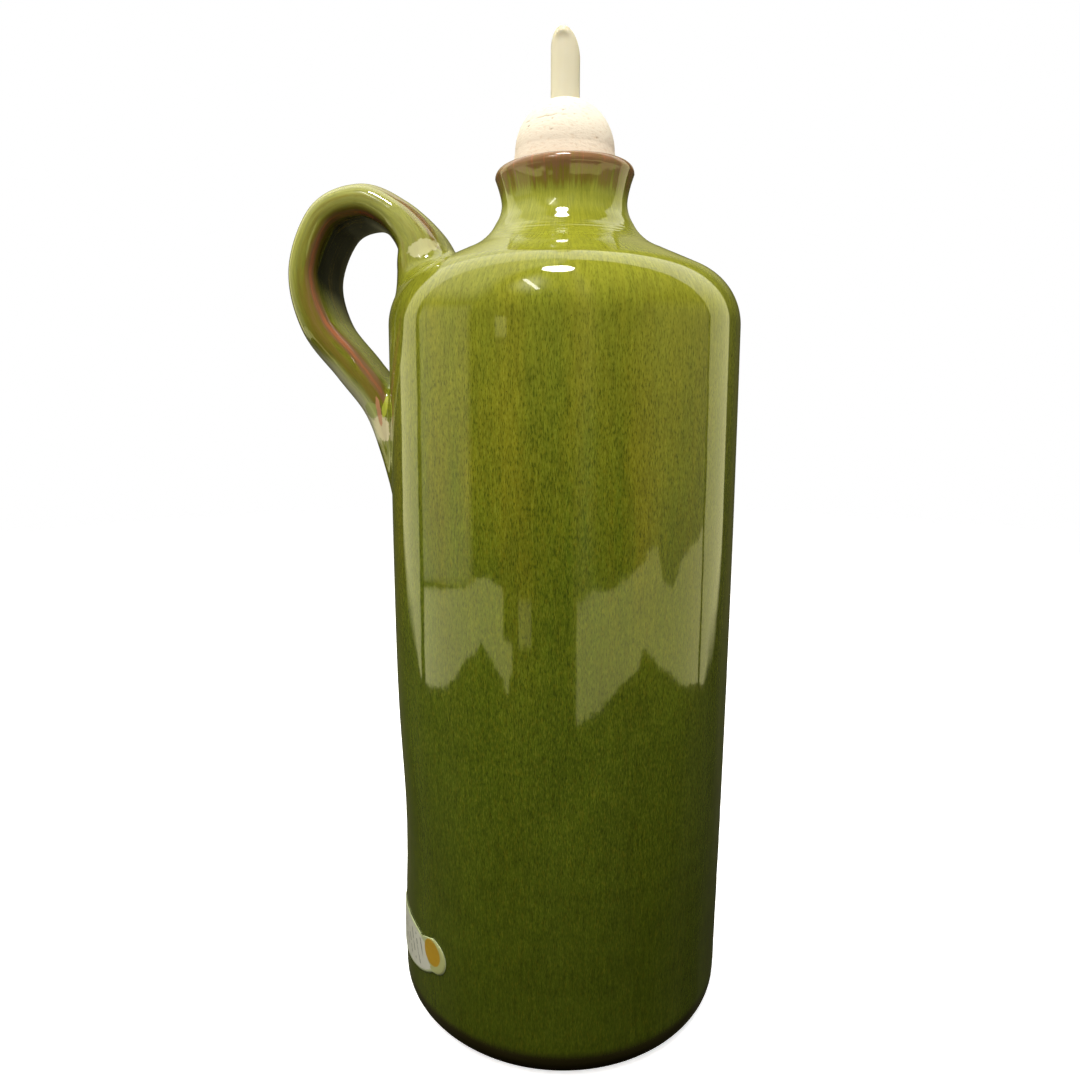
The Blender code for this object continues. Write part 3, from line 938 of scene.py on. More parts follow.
def marked(s, colour, spot):
    """The colour with the handle's marks on it."""
    near = s.ease(s.xyz(spot)[1], *MARKED_SIDE)
    ragged = s.minus(fibres(s, spot, 0.0011, 0.0013, 3.0, 1.6), 0.5)
    for (x, z), (wide, long), lean, share, paint in HANDLE_MARKS.values():
        cos, sin = math.cos(math.radians(lean)), math.sin(math.radians(lean))
        offset = s.vector("SUBTRACT", spot, (x, 0.0, z))
        across = s.vector("DOT_PRODUCT", offset, (cos / wide, 0.0, sin / wide))
        along = s.vector("DOT_PRODUCT", offset, (-sin / long, 0.0, cos / long))
        reach = s.plus(s.times(across, across), s.times(along, along))
        reach = s.times_plus(ragged, 1.1, reach)
        colour = s.mix(s.times(s.ease(reach, 1.20, 0.85, 0.0, share), near), colour, paint)
    return colour


# %% The glaze
# painted shade: the colour of the strap's inside, where the arch shades it
INNER_PAINTED_SHADE = (0.014, 0.017, 0.010)
# painted reflection: the pale sky mirrored on the strap's top and the outer face of its lower limb
PAINTED_SKY_REFLECTION = (0.700, 0.680, 0.420)
THIN_BROWN = (0.170, 0.122, 0.018)
LIP_BROWN = (0.215, 0.114, 0.051)
TERRACOTTA = (0.370, 0.130, 0.058)
IRON_SPECK = (0.030, 0.022, 0.008)
# painted shade over the foot's lowest rounding, where the wall turns under, tinted with the brown of the
# thin coat there
FOOT_PAINTED_SHADE = (0.018, 0.013, 0.004)
FOOT_PAINTED_SHADE_FROM = (0.0092, 0.0062)
GLAZE_RELIEF = 0.000045


def glaze_material():
    material, s, shader = new_material("green_glaze", IOR=1.50)
    flow = attribute(s, "flow", "Vector")
    spot = object_spot(s)
    height = s.xyz(spot)[2]
    fine = fibres(s, flow, 0.00024, 0.0010, 2.0, 2.6)
    runs = fibres(s, flow, 0.0019, 0.018, 3.0, 2.6)
    colour = glaze_body(s, flow, spot, height, fine, runs)
    # painted shade on the strap's inside, where the arch shades it
    colour = s.mix(attribute(s, "inner"), colour, INNER_PAINTED_SHADE)
    # painted reflection of the pale sky on the strap
    colour = s.mix(attribute(s, "milky"), colour, PAINTED_SKY_REFLECTION)
    # the noises break up the edges of the thin places
    thin = s.times_plus(s.minus(fine, 0.5), 0.14, attribute(s, "thin"))
    thin = s.times_plus(s.minus(runs, 0.5), 0.34, thin)
    colour = s.mix(s.ease(thin, 0.18, 0.50, 0.0, 0.85), colour, THIN_BROWN)
    colour = s.mix(s.ease(thin, 0.45, 0.75), colour, LIP_BROWN)
    colour = s.mix(s.ease(thin, 0.84, 1.02), colour, TERRACOTTA)
    # painted shade over the foot's lowest rounding, with the thin coat's brown in it
    colour = s.mix(s.ease(height, *FOOT_PAINTED_SHADE_FROM, 0.0, 0.97), colour, FOOT_PAINTED_SHADE)
    colour = marked(s, colour, spot)
    iron = effect(s, SPECKS, spot, Spacing=0.0042, Size=0.050, Share=0.30)
    s.put(shader["Base Color"], s.mix(s.times(iron, 0.70), colour, IRON_SPECK))
    s.put(shader["Roughness"], s.ease(thin, 0.5, 1.0, 0.045, 0.14))
    relief = effect(s, LUMPS, spot, Broad=0.011, Fine=0.0024, Fine_Share=0.10)
    pits = effect(s, SPECKS, spot, Spacing=0.0063, Size=0.045, Share=0.22)
    set_bump(s, shader, s.times_plus(pits, -0.4, relief), GLAZE_RELIEF, 1.0)
    return material


GLAZE = glaze_material()
print("glaze:", len(GLAZE.node_tree.nodes), "nodes,", len(HANDLE_MARKS), "marks on the handle")

# %% [markdown]
# ## The bottle's wall
#
# A potter's fingers leave shallow rings that climb the wall, deeper low down and close together
# where the neck was pulled in. They show in what the glaze mirrors, so they are real relief, moved
# along the surface's own normal. After that the whole clay form is nudged as it was by hand: a
# soft dent under the handle and a lip that leans a little. The tree also writes `flow` and `thin`
# for the glaze.

# %% The throwing rings
RING_SPACING = 0.0066
RING_DEPTH = 0.000012
LOW_RING_DEPTH = 0.00026
LOW_RINGS_FROM = (0.075, 0.030)
NECK_RING_SPACING = 0.0012
NECK_RING_DEPTH = 0.00002
NECK_RINGS = (0.1978, 0.2050)
NECK_RIDGE = 0.2060
NECK_RIDGE_WIDTH = 0.0012
NECK_RIDGE_DEPTH = 0.00010


def ring_relief(s, given, spot, angle):
    """How far the throwing rings push each point out. The bore inside the neck has none."""
    z = s.xyz(spot)[2]
    sway = s.times(s.math("SINE", s.plus(angle, 0.8)), 0.22)
    step = s.plus(s.math("DIVIDE", z, given["Ring spacing"]), sway)
    rings = s.add("ShaderNodeTexNoise", {"W": step, "Scale": 1.0, "Detail": 1.5}, noise_dimensions="1D")
    depth = s.times_plus(s.ease(z, *LOW_RINGS_FROM), LOW_RING_DEPTH, given["Ring depth"])
    on_wall_part = s.times(s.ease(z, 0.004, 0.012), s.ease(z, WALL_TOP + 0.010, WALL_TOP - 0.010))
    push = s.times(s.minus(rings.outputs[0], 0.5), depth, on_wall_part)
    tight = s.math("SINE", s.times(read(s, "run"), 2 * math.pi / NECK_RING_SPACING))
    tight = s.times(tight, s.times(s.between(z, *NECK_RINGS, 0.0018), NECK_RING_DEPTH))
    ridge = s.times(s.bell(z, NECK_RIDGE, NECK_RIDGE_WIDTH), NECK_RIDGE_DEPTH)
    from_axis = s.vector("LENGTH", s.vector("MULTIPLY", spot, (1.0, 1.0, 0.0)))
    on_neck = s.times(s.ease(from_axis, 0.0136, 0.0150), s.math("GREATER_THAN", z, 0.19))
    return s.times_plus(s.plus(tight, ridge), on_neck, push)


# %% The wall's tree
LIP_COAT_FROM = (0.2095, 0.2145)
LIP_BARE_FROM = (0.2150, 0.2174)
FOOT_BARE_FROM = (0.0034, 0.0003)


def thin_places(s, z):
    """`thin` on the wall: the lip, more so at its very edge, and the foot's lowest ring."""
    lip = s.plus(s.ease(z, *LIP_COAT_FROM, 0.0, 0.50), s.ease(z, *LIP_BARE_FROM, 0.0, 0.27))
    return s.highest(lip, s.ease(z, *FOOT_BARE_FROM, 0.0, 0.70))


def by_hand(s, given, spot, angle):
    """Where each point goes when the dent is pressed in and the lip leans."""
    x, y, z = s.xyz(spot)
    facing = s.highest(s.times(s.math("COSINE", angle), -1.0), 0.0)
    dent = s.times(s.times(facing, facing), s.bell(z, DENT_HEIGHT, DENT_REACH), given["Dent depth"])
    squeeze = s.minus(1.0, s.math("DIVIDE", dent, BASE_RADIUS))
    lean = s.times(given["Lip lean"], x, s.ease(z, LEAN_FROM, LEAN_FULL))
    return s.from_xyz(s.times(x, squeeze), s.times(y, squeeze), s.plus(z, lean))


def wall_tree(material):
    s, given, made = new_group(
        "GeometryNodeTree",
        "thrown wall",
        {
            "Outline": ("NodeSocketGeometry", None),
            "Sides": ("NodeSocketInt", 64),
            "Ring spacing": ("NodeSocketFloat", RING_SPACING),
            "Ring depth": ("NodeSocketFloat", RING_DEPTH),
            "Dent depth": ("NodeSocketFloat", DENT_DEPTH),
            "Lip lean": ("NodeSocketFloat", LIP_LEAN),
        },
        {"Geometry": "NodeSocketGeometry"},
    )
    spot, angle = place(s), read(s, "angle")
    # glaze coordinates: round the bottle at its full radius, and down the outline
    across = s.times(s.math("COSINE", angle), BASE_RADIUS)
    aside = s.times(s.math("SINE", angle), BASE_RADIUS)
    flow = s.from_xyz(across, aside, s.times(read(s, "run"), -1.0))
    wall = keep(s, on_the_wheel(s, given), "flow", flow, "FLOAT_VECTOR")
    wall = keep(s, wall, "thin", thin_places(s, s.xyz(spot)[2]))
    normal = s.add("GeometryNodeInputNormal").outputs[0]
    wall = move(s, wall, Offset=s.vector("SCALE", normal, scale=ring_relief(s, given, spot, angle)))
    wall = move(s, wall, Position=by_hand(s, given, spot, angle))
    s.put(made["Geometry"], finishing_steps(s, wall, material))
    return s.tree


# %% The wall
WALL_SIDES = 200


def faces_out(mesh):
    """True when the mesh's signed volume is positive, which is when its faces point outwards."""
    mesh.calc_loop_triangles()
    spots = np.empty(len(mesh.vertices) * 3)
    mesh.vertices.foreach_get("co", spots)
    corners = np.empty(len(mesh.loop_triangles) * 3, dtype=np.int64)
    mesh.loop_triangles.foreach_get("vertices", corners)
    a, b, c = spots.reshape(-1, 3)[corners.reshape(-1, 3)].transpose(1, 0, 2)
    return float(np.einsum("ij,ij->", a, np.cross(b, c))) > 0


def turn_out(mesh):
    """Flips the faces if they point inwards."""
    if not faces_out(mesh):
        mesh.flip_normals()


bottle = outline_object("glazed_bottle", bottle_outline())
run_nodes(bottle, wall_tree(GLAZE), {"Sides": WALL_SIDES, "Lip lean": LIP_LEAN})
turn_out(bottle.data)
print("wall:", len(bottle.data.polygons), "faces, pointing out:", faces_out(bottle.data))

# %% [markdown]
# ## The handle
#
# The handle was pulled as a strap of wet clay and pressed onto the bottle at both ends, where a
# wet finger smoothed the corner into a small hollow curve. A Boolean union would leave a hard
# crease there, and a remesh would ripple the mirror finish. So the strap is swept as a grid of
# columns, each column is followed to the place where it meets the wall, and its last stretch is
# bent over in a curve that ends flat on the wall. The strap and wall then overlap without a seam
# that the eye can find, because both surfaces share one direction where they meet.

# %% The strap's middle line and section
STRAP_SIDES = 72
STRAP_STEPS = 26  # rows from one station to the next
USUAL_HALF_WIDTH = 0.0134  # for spacing the columns
USUAL_HALF_DEPTH = 0.0046


def catmull_rom(knots, steps):
    """A smooth run through every knot, with this many steps from one to the next."""
    padded = [knots[0], *knots, knots[-1]]
    points = []
    for before, start, end, after in zip(padded, padded[1:], padded[2:], padded[3:]):
        for step in range(steps):
            t = step / steps
            weights = (
                (-t + 2 * t**2 - t**3) / 2,
                (2 - 5 * t**2 + 3 * t**3) / 2,
                (t + 4 * t**2 - 3 * t**3) / 2,
                (-(t**2) + t**3) / 2,
            )
            four = (before, start, end, after)
            points.append([sum(w * k[i] for w, k in zip(weights, four)) for i in range(4)])
    points.append(list(knots[-1]))
    return np.array(points)


def section_points(angle, half_width, half_depth):
    """The strap's D-shaped section: how far across it and how far out from its middle."""
    across, out = np.cos(angle), np.sin(angle)
    crown = np.where(out > 0, HANDLE_OUTER_CROWN, HANDLE_INNER_CROWN)
    return (
        half_width * np.sign(across) * np.abs(across) ** (2 / HANDLE_EDGE),
        half_depth * np.sign(out) * np.abs(out) ** (2 / crown),
    )


def even_angles(sides, half_width, half_depth):
    """Angles whose section points lie evenly along the section's edge."""
    fine = np.linspace(0.0, 2 * math.pi, 6001)
    across, out = section_points(fine, half_width, half_depth)
    edge = np.concatenate([[0.0], np.cumsum(np.hypot(np.diff(across), np.diff(out)))])
    return np.interp(np.linspace(0.0, edge[-1], sides, endpoint=False), edge, fine)


STRAP_ANGLES = even_angles(STRAP_SIDES, USUAL_HALF_WIDTH, USUAL_HALF_DEPTH)


def strap_columns():
    """The strap's surface as an array [row, column, xyz], its middle line and its height out."""
    run = catmull_rom(HANDLE_STATIONS, STRAP_STEPS)
    along = np.gradient(run[:, :2], axis=0)
    along /= np.linalg.norm(along, axis=1)[:, None]
    outward = np.stack([-along[:, 1], along[:, 0]], axis=1)
    across, out = section_points(STRAP_ANGLES[None, :], run[:, 2:3], run[:, 3:4])
    surface = np.empty((len(run), STRAP_SIDES, 3))
    surface[..., 0] = -(run[:, None, 0] + outward[:, None, 0] * out)
    surface[..., 1] = across
    surface[..., 2] = run[:, None, 1] + outward[:, None, 1] * out
    middle = np.stack([-run[:, 0], np.zeros(len(run)), run[:, 1]], axis=1)
    return surface, middle, out


surface, middle_line, strap_out = strap_columns()
print("strap grid:", surface.shape[:2])

# %% [markdown]
# The wall is kept in a search tree, which finds the nearest spot on it and which way it faces
# there. A point's side of the wall is the sign of its distance along that direction.

# %% Meeting the wall
wall_search = BVHTree.FromPolygons(
    [vertex.co for vertex in bottle.data.vertices],
    [tuple(face.vertices) for face in bottle.data.polygons],
)


def on_wall(point):
    """The nearest spot of the wall and the wall's direction there."""
    spot, normal, _, _ = wall_search.find_nearest(Vector(point))
    return np.array(spot), np.array(normal)


def outside_by(point):
    spot, normal = on_wall(point)
    return float(np.dot(np.asarray(point) - spot, normal))


def crossing(column, start, step):
    """Follows a column from its row `start` to the place where it goes into the wall."""
    row = start
    depth = outside_by(column[row])
    while 0 < row + step < len(column) - 1:
        next_depth = outside_by(column[row + step])
        if next_depth <= 0:
            break
        row, depth = row + step, next_depth
    share = depth / (depth - next_depth)
    return row + step * share


def at_row(values, row):
    """A column's value at a row number that may lie between two rows."""
    low = int(min(max(math.floor(row), 0), len(values) - 2))
    return values[low] + (values[low + 1] - values[low]) * (row - low)


def back_off(column, row, step, reach):
    """The row number that lies `reach` back along the column from where it meets the wall."""
    here = at_row(column, row)
    walked = 0.0
    while walked < reach:
        row -= step * 0.25
        there = at_row(column, row)
        walked += float(np.linalg.norm(there - here))
        here = there
    return row


# %% The smoothed corner
ROOT_FILLET = (0.0042, 0.0046)  # how far it reaches up the strap and out on the wall
TAIL_FILLET = (0.0050, 0.0042)
FILLET_ROWS = 14
TUCK = 0.0006  # how far its last row hides under the wall's skin


def fillet(side, row, step, reach):
    """One column's smoothed corner: rows from the strap (first) to the wall (last, tucked in)."""
    column = surface[:, side]
    meet = at_row(column, row)
    leave = back_off(column, row, step, reach[0])
    start = at_row(column, leave)
    spot, normal = on_wall(meet)
    away = meet - at_row(middle_line, row)
    tangent = at_row(column, row + 0.5) - at_row(column, row - 0.5)
    tangent /= np.linalg.norm(tangent)
    away -= tangent * np.dot(away, tangent)
    away -= normal * np.dot(away, normal)
    away /= np.linalg.norm(away)
    end, _ = on_wall(meet + away * reach[1])
    points = []
    for t in np.linspace(0.0, 1.0, FILLET_ROWS + 1)[1:]:
        points.append((1 - t) ** 2 * start + 2 * t * (1 - t) * spot + t * t * end)
    tucked, facing = on_wall(meet + away * (reach[1] + TUCK))
    points.append(tucked - facing * TUCK)
    return leave, points


# %% The strap's rings
STRAP_ROWS = 190


def strap_end(name, step, reach):
    """Every column's row where the corner starts, and the corner's rings."""
    leaves, skirts = [], []
    for side in range(STRAP_SIDES):
        row = crossing(surface[:, side], len(surface) // 2, step)
        leave, points = fillet(side, row, step, reach)
        leaves.append(leave)
        skirts.append(points)
    rings = np.array(skirts).transpose(1, 0, 2)
    heights = rings[-1][:, 2] / MM
    print(name, "meets the wall from", round(heights.min(), 1), "to", round(heights.max(), 1), "mm up")
    return np.array(leaves), rings


root_rows, root_rings = strap_end("root", -1, ROOT_FILLET)
tail_rows, tail_rings = strap_end("tail", 1, TAIL_FILLET)
body_rings = []
for share in np.linspace(0.0, 1.0, STRAP_ROWS):
    rows = root_rows + (tail_rows - root_rows) * share
    body_rings.append([at_row(surface[:, side], row) for side, row in enumerate(rows)])
strap_rings = np.concatenate([root_rings[::-1], np.array(body_rings), tail_rings])
print("strap rings:", strap_rings.shape)

# %% [markdown]
# The strap needs what the glaze reads as well. Its `flow` runs from the wall's value at the root
# to the wall's value at the tail, and over the smoothed corners it turns into the wall's own, so
# that no streak breaks at the joint.

# %% The strap's flow
SKIRT_ROWS = FILLET_ROWS + 1


def wall_flow(point):
    """The wall's own glaze coordinates at the spot nearest to a point."""
    spot, _, face, _ = wall_search.find_nearest(Vector(point))
    corners = bottle.data.polygons[face].vertices
    near = min(corners, key=lambda corner: (bottle.data.vertices[corner].co - spot).length)
    height = bottle.data.attributes["flow"].data[near].vector.z
    turn = math.atan2(spot.y, spot.x)
    return np.array((BASE_RADIUS * math.cos(turn), BASE_RADIUS * math.sin(turn), height))


def place_on_strap(ring):
    """A ring's share of the way from root to tail, and how far it has turned into the wall."""
    last = SKIRT_ROWS + STRAP_ROWS - 1
    share = min(max((ring - SKIRT_ROWS) / (STRAP_ROWS - 1), 0.0), 1.0)
    return share, max(SKIRT_ROWS - ring, ring - last, 0) / SKIRT_ROWS


def strap_flow():
    root_run = wall_flow(strap_rings[SKIRT_ROWS].mean(axis=0))[2]
    tail_run = wall_flow(strap_rings[-SKIRT_ROWS - 1].mean(axis=0))[2]
    flow = np.empty(strap_rings.shape)
    for ring, spots in enumerate(strap_rings):
        share, into_wall = place_on_strap(ring)
        flow[ring, :, 0] = -(BASE_RADIUS + at_row(strap_out, share * (len(strap_out) - 1)))
        flow[ring, :, 1] = spots[:, 1]
        flow[ring, :, 2] = root_run + (tail_run - root_run) * share
        if into_wall > 0:
            walls = np.array([wall_flow(point) for point in spots])
            blend = min(into_wall * 1.15, 1.0) ** 1.5
            flow[ring] = flow[ring] * (1 - blend) + walls * blend
    return flow


# %% [markdown]
# The coat on the strap is told by three more numbers. `thin` is a narrow burnt line along both
# inner edges, a shorter one along the outer edges above the root, and a thinner coat on the lower
# sides. `inner` is painted shade that darkens the inside under the arch, and `milky` is a painted
# reflection of the pale sky on the top and the outer face of the lower limb.
# A place round the strap is given in degrees with both edges as one: 90 is straight out, 180 is
# the edge and 270 straight in. A place along it is a share: 0 at the root, 1 at the tail.

# %% The strap's coat
STRAP_ACROSS, STRAP_OUT = np.cos(STRAP_ANGLES), np.sin(STRAP_ANGLES)
ROUND_STRAP = np.degrees(np.arctan2(STRAP_OUT, -np.abs(STRAP_ACROSS))) % 360
PLAIN_THIN = 0.22
PAINTED_REFLECTION_ENDS = 0.1518  # the height below which the tail's outside is clear again


def close_to(turn, width):
    """1 at this place round the strap, falling smoothly on both sides of it."""
    return np.exp(-(((ROUND_STRAP - turn) / width) ** 2))


def ramp(values, low, high):
    """0 up to low, 1 from high on."""
    return np.clip((values - low) / (high - low), 0.0, 1.0)


def painted_reflection_places(share, heights):
    """How much painted reflection of the pale sky lies on the top and on the outer face of the lower limb,
    and how far that face reaches.
    """
    top = np.interp(share, (0.0, 0.10, 0.45, 0.70), (0.08, 0.13, 0.12, 0.0))
    edge = np.interp(share, (0.35, 0.60, 0.75, 1.0), (128, 132, 170, 184))
    face = 1.0 - ramp(ROUND_STRAP, edge - 8, edge + 8)
    face = face * np.interp(share, (0.35, 0.60, 0.75), (0.12, 0.45, 1.0))
    outer = face * np.interp(ROUND_STRAP, (148, 158, 172), (0.95, 0.60, 0.42))
    outer = outer * ramp(heights, PAINTED_REFLECTION_ENDS, PAINTED_REFLECTION_ENDS + 0.0014)
    return top * ramp(STRAP_OUT, -0.6, 0.0), outer, face


def thin_edges(share, outer, face):
    """The burnt line along the inner edges, the line at the root, and the thin lower sides."""
    line = np.interp(share, (0.40, 0.60, 0.80, 0.87, 0.92, 1.0), (216, 215, 216, 223, 221, 219))
    burnt = close_to(line, np.interp(share, (0.40, 0.70, 0.95), (11, 14, 20)))
    strength = (0.0, 1.06, 1.04, 0.95, 0.92, 0.87)
    burnt = burnt * np.interp(share, (0.20, 0.32, 0.62, 0.74, 0.95, 1.0), strength)
    root_edge = close_to(130, 15) * np.interp(share, (0.0, 0.04, 0.18, 0.30), (0.4, 0.66, 0.60, 0.0))
    sides = close_to(182, 40) * np.interp(share, (0.45, 0.70, 0.98, 1.0), (0.0, 0.52, 0.52, 0.1))
    return np.maximum.reduce([burnt, root_edge, sides * (1.0 - face), PLAIN_THIN * (1.0 - outer)])


def strap_coat():
    """The strap's `thin`, `inner` and `milky`, which all fade away over the smoothed corners."""
    coats = []
    inside = ramp(-STRAP_OUT, 0.56, 0.78)
    for ring, spots in enumerate(strap_rings):
        share, into_wall = place_on_strap(ring)
        top, outer, face = painted_reflection_places(share, spots[:, 2])
        # painted shade: the inside is dark down to where it opens towards the light
        open_share = share - 0.10 * STRAP_ACROSS
        dark = inside * np.interp(open_share, (0.0, 0.10, 0.73, 0.86), (0.3, 1.0, 1.0, 0.0))
        coat = np.array([thin_edges(share, outer, face), dark, np.maximum(top, outer)])
        coats.append(coat * (1.0 - min(into_wall * 1.6, 1.0)))
    return np.array(coats).transpose(1, 0, 2)


# %% A mesh of rings
def ring_mesh(name, rings, closed_ends=()):
    """Quads between rings of equal length. With points for both ends, a fan closes each end, and
    otherwise the last ring joins the first."""
    count = rings.shape[1]
    spots = rings.reshape(-1, 3).tolist()
    faces = []
    for ring in range(len(rings) - 1 if closed_ends else len(rings)):
        low, high = ring * count, (ring + 1) % len(rings) * count
        for side in range(count):
            beside = (side + 1) % count
            faces.append((low + side, low + beside, high + beside, high + side))
    for centre, ring in zip(closed_ends, (0, len(rings) - 1)):
        spots.append(tuple(centre))
        for side in range(count):
            corners = (ring * count + side, ring * count + (side + 1) % count, len(spots) - 1)
            faces.append(corners if ring else corners[::-1])
    mesh = bpy.data.meshes.new(name)
    mesh.from_pydata(spots, [], faces)
    turn_out(mesh)
    mesh.shade_smooth()
    return mesh


def write_attribute(mesh, name, values):
    """Stores a value for each ring point. The two end points take their neighbour's."""
    shape = (-1, 3) if values.ndim == 3 else (-1,)
    values = values.reshape(shape)
    values = np.pad(values, ((0, 2),) + ((0, 0),) * (values.ndim - 1), mode="edge")
    kind, key = ("FLOAT_VECTOR", "vector") if values.ndim == 2 else ("FLOAT", "value")
    mesh.attributes.new(name, kind, "POINT").data.foreach_set(key, values.ravel())


# %% The strap joins the wall
ROOT_INWARD = (0.002, 0.0, -0.005)  # how far the strap's closed ends go into the wall
TAIL_INWARD = (0.008, 0.0, 0.0)

strap_ends = (strap_rings[0].mean(axis=0) + ROOT_INWARD, strap_rings[-1].mean(axis=0) + TAIL_INWARD)
strap_mesh = ring_mesh("strap", strap_rings, strap_ends)
write_attribute(strap_mesh, "flow", strap_flow())
for name, values in zip(("thin", "inner", "milky"), strap_coat()):
    write_attribute(strap_mesh, name, values)
strap_mesh.materials.append(GLAZE)
strap = put_in_scene("strap", strap_mesh)
with bpy.context.temp_override(active_object=bottle, selected_editable_objects=[bottle, strap]):
    bpy.ops.object.join()
bottle.data.calc_loop_triangles()
carried = [name for name in ("flow", "thin", "inner", "milky") if name in bottle.data.attributes]
print("bottle:", len(bottle.data.loop_triangles), "triangles, which carry", carried)
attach(bottle, "root")
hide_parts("bottle")

# %% [markdown]
# ## The cork
#
# A natural cork that was turned to a dome. Cork is bark: it has short dark pores that lie level,
# a few longer cracks, and a soft dry surface. A plain noise would look like foam, so the pores
# are cells of a Voronoi pattern, flattened in height, of which only a few are opened. Geometry
# Nodes sink them into the same wheel's surface, and keep how deep each point is as `pore`, which
# the material darkens.

# %% Sizes of the cork
CORK_FIT = 0.00035
CORK_FOOT = 0.1990
CORK_BEVEL = 0.0008
CORK_SWELL = (0.01290, 0.2205)
CORK_SHOULDER = 0.2232
CORK_SHOULDER_RADIUS = 0.01235
CORK_SHOULDER_PULL = (0.0002, 0.0016)
CORK_DOME = 0.0126
SPOUT_RADIUS = 0.00356
CORK_SIDES = 176


def cork_outline():
    """(radius, height) from the hole's lower rim, out and up the tapered side, over the dome."""
    hole = SPOUT_RADIUS + CORK_FIT / 2
    foot_radius = bore_radius(CORK_FOOT) - CORK_FIT
    mouth = (MOUTH_RADIUS - CORK_FIT, LIP_EDGE[1])
    points = straight((hole, CORK_FOOT), (foot_radius - CORK_BEVEL, CORK_FOOT), 5)
    points += straight(points[-1], (foot_radius, CORK_FOOT + CORK_BEVEL), 2)[1:]
    points += straight(points[-1], mouth, 20)[1:]
    start = (CORK_SHOULDER_RADIUS, CORK_SHOULDER)
    pull = (start[0] + CORK_SHOULDER_PULL[0], start[1] - CORK_SHOULDER_PULL[1])
    points += bezier(mouth, CORK_SWELL, pull, start, 24)[1:]
    last = math.acos(hole / CORK_SHOULDER_RADIUS)
    for angle in np.linspace(0.0, last, 84)[1:]:
        radius = CORK_SHOULDER_RADIUS * math.cos(angle)
        points.append((radius, CORK_SHOULDER + CORK_DOME * math.sin(angle)))
    points += straight(points[-1], (hole, CORK_FOOT), 8)[1:]
    return points


# %% The cork's material
CORK_LOW = (0.690, 0.587, 0.466)
# painted light: the dome's paler top, lit most by the lamp above
CORK_TOP_PAINTED_LIGHT = (0.725, 0.695, 0.578)
CORK_PATCH = (0.735, 0.655, 0.515)
CORK_GRAIN = (0.55, 0.36, 0.20)
CORK_DOT = (0.42, 0.24, 0.12)
CORK_PORE = (0.26, 0.14, 0.07)
CORK_PAINTED_LIGHT_FROM = (0.2190, 0.2340)


def cork_material():
    material, s, shader = new_material("natural_cork", Roughness=0.85, Specular_IOR_Level=0.25)
    spot = object_spot(s)
    grain = fibres(s, spot, 0.0011, 0.00055, 3.0, 2.4)
    cloud = fibres(s, spot, 0.0045, 0.0035, 2.0, 2.0)
    dots = effect(s, SPECKS, spot, Spacing=0.0009, Size=0.22, Share=0.22)
    # painted light: the dome pales towards its top, where the lamp above lights it most
    colour = s.mix(s.ease(s.xyz(spot)[2], *CORK_PAINTED_LIGHT_FROM), CORK_LOW, CORK_TOP_PAINTED_LIGHT)
    colour = s.mix(s.times(cloud, 0.30), colour, CORK_PATCH)
    colour = s.mix(s.ease(grain, 0.40, 0.02, 0.0, 0.30), colour, CORK_GRAIN)
    colour = s.mix(s.times(dots, 0.26), colour, CORK_DOT)
    s.put(shader["Base Color"], s.mix(attribute(s, "pore"), colour, CORK_PORE))
    set_bump(s, shader, s.times_plus(dots, -0.6, grain), 0.00006, 0.7)
    return material


# %% The cork's tree
PORE_SPACING = 0.0021
PORE_DEPTH = 0.00016
PORE_SHARE = 0.34
PORE_SHAPE = (1.25, 1.25, 0.75)  # a pore is wider than it is high
CRACK_HEIGHT = 0.2287
CRACK_WIDTH = 0.00011
CRACK_WANDER = 0.0011
CORK_ROUGHNESS = 0.00010


def pores(s, given, spot, z):
    """How open the cork is: a few pores, and a broken level crack half way up what shows."""
    level = s.vector("DIVIDE", spot, PORE_SHAPE)
    level = s.vector("SCALE", level, scale=s.math("DIVIDE", 1.0, given["Pore spacing"]))
    cells = s.add("ShaderNodeTexVoronoi", {"Vector": level, "Scale": 1.0}).outputs
    luck = s.xyz(cells["Color"])
    size = s.times_plus(luck[1], 0.16, 0.06)
    chosen = s.math("LESS_THAN", luck[0], PORE_SHARE)
    opened = s.times(chosen, s.ease(cells["Distance"], size, s.times(size, 0.4)))
    wander = s.times_plus(s.minus(s.noise(spot, 420.0, 2.0), 0.5), CRACK_WANDER, z)
    broken = s.ease(s.noise(spot, 230.0, 1.0), 0.50, 0.60)
    crack = s.times(s.bell(wander, CRACK_HEIGHT, CRACK_WIDTH), broken)
    return s.highest(opened, s.times(crack, 0.8))


def cork_tree(material):
    s, given, made = new_group(
        "GeometryNodeTree",
        "cork with pores",
        {
            "Outline": ("NodeSocketGeometry", None),
            "Sides": ("NodeSocketInt", 64),
            "Pore spacing": ("NodeSocketFloat", PORE_SPACING),
            "Pore depth": ("NodeSocketFloat", PORE_DEPTH),
        },
        {"Geometry": "NodeSocketGeometry"},
    )
    spot = place(s)
    z = s.xyz(spot)[2]
    # the shank inside the neck stays plain
    above = s.ease(z, LIP_EDGE[1] - 0.002, LIP_EDGE[1])
    pore = s.times(pores(s, given, spot, z), above)
    body = keep(s, on_the_wheel(s, given), "pore", s.times(pore, 0.75))
    sink = s.times(pore, s.times(given["Pore depth"], -1.0))
    rough = s.times(s.minus(s.noise(spot, 900.0, 2.0), 0.6), above)
    sink = s.times_plus(rough, CORK_ROUGHNESS, sink)
    normal = s.add("GeometryNodeInputNormal").outputs[0]
    body = move(s, body, Offset=s.vector("SCALE", normal, scale=sink))
    s.put(made["Geometry"], finishing_steps(s, body, material))
    return s.tree


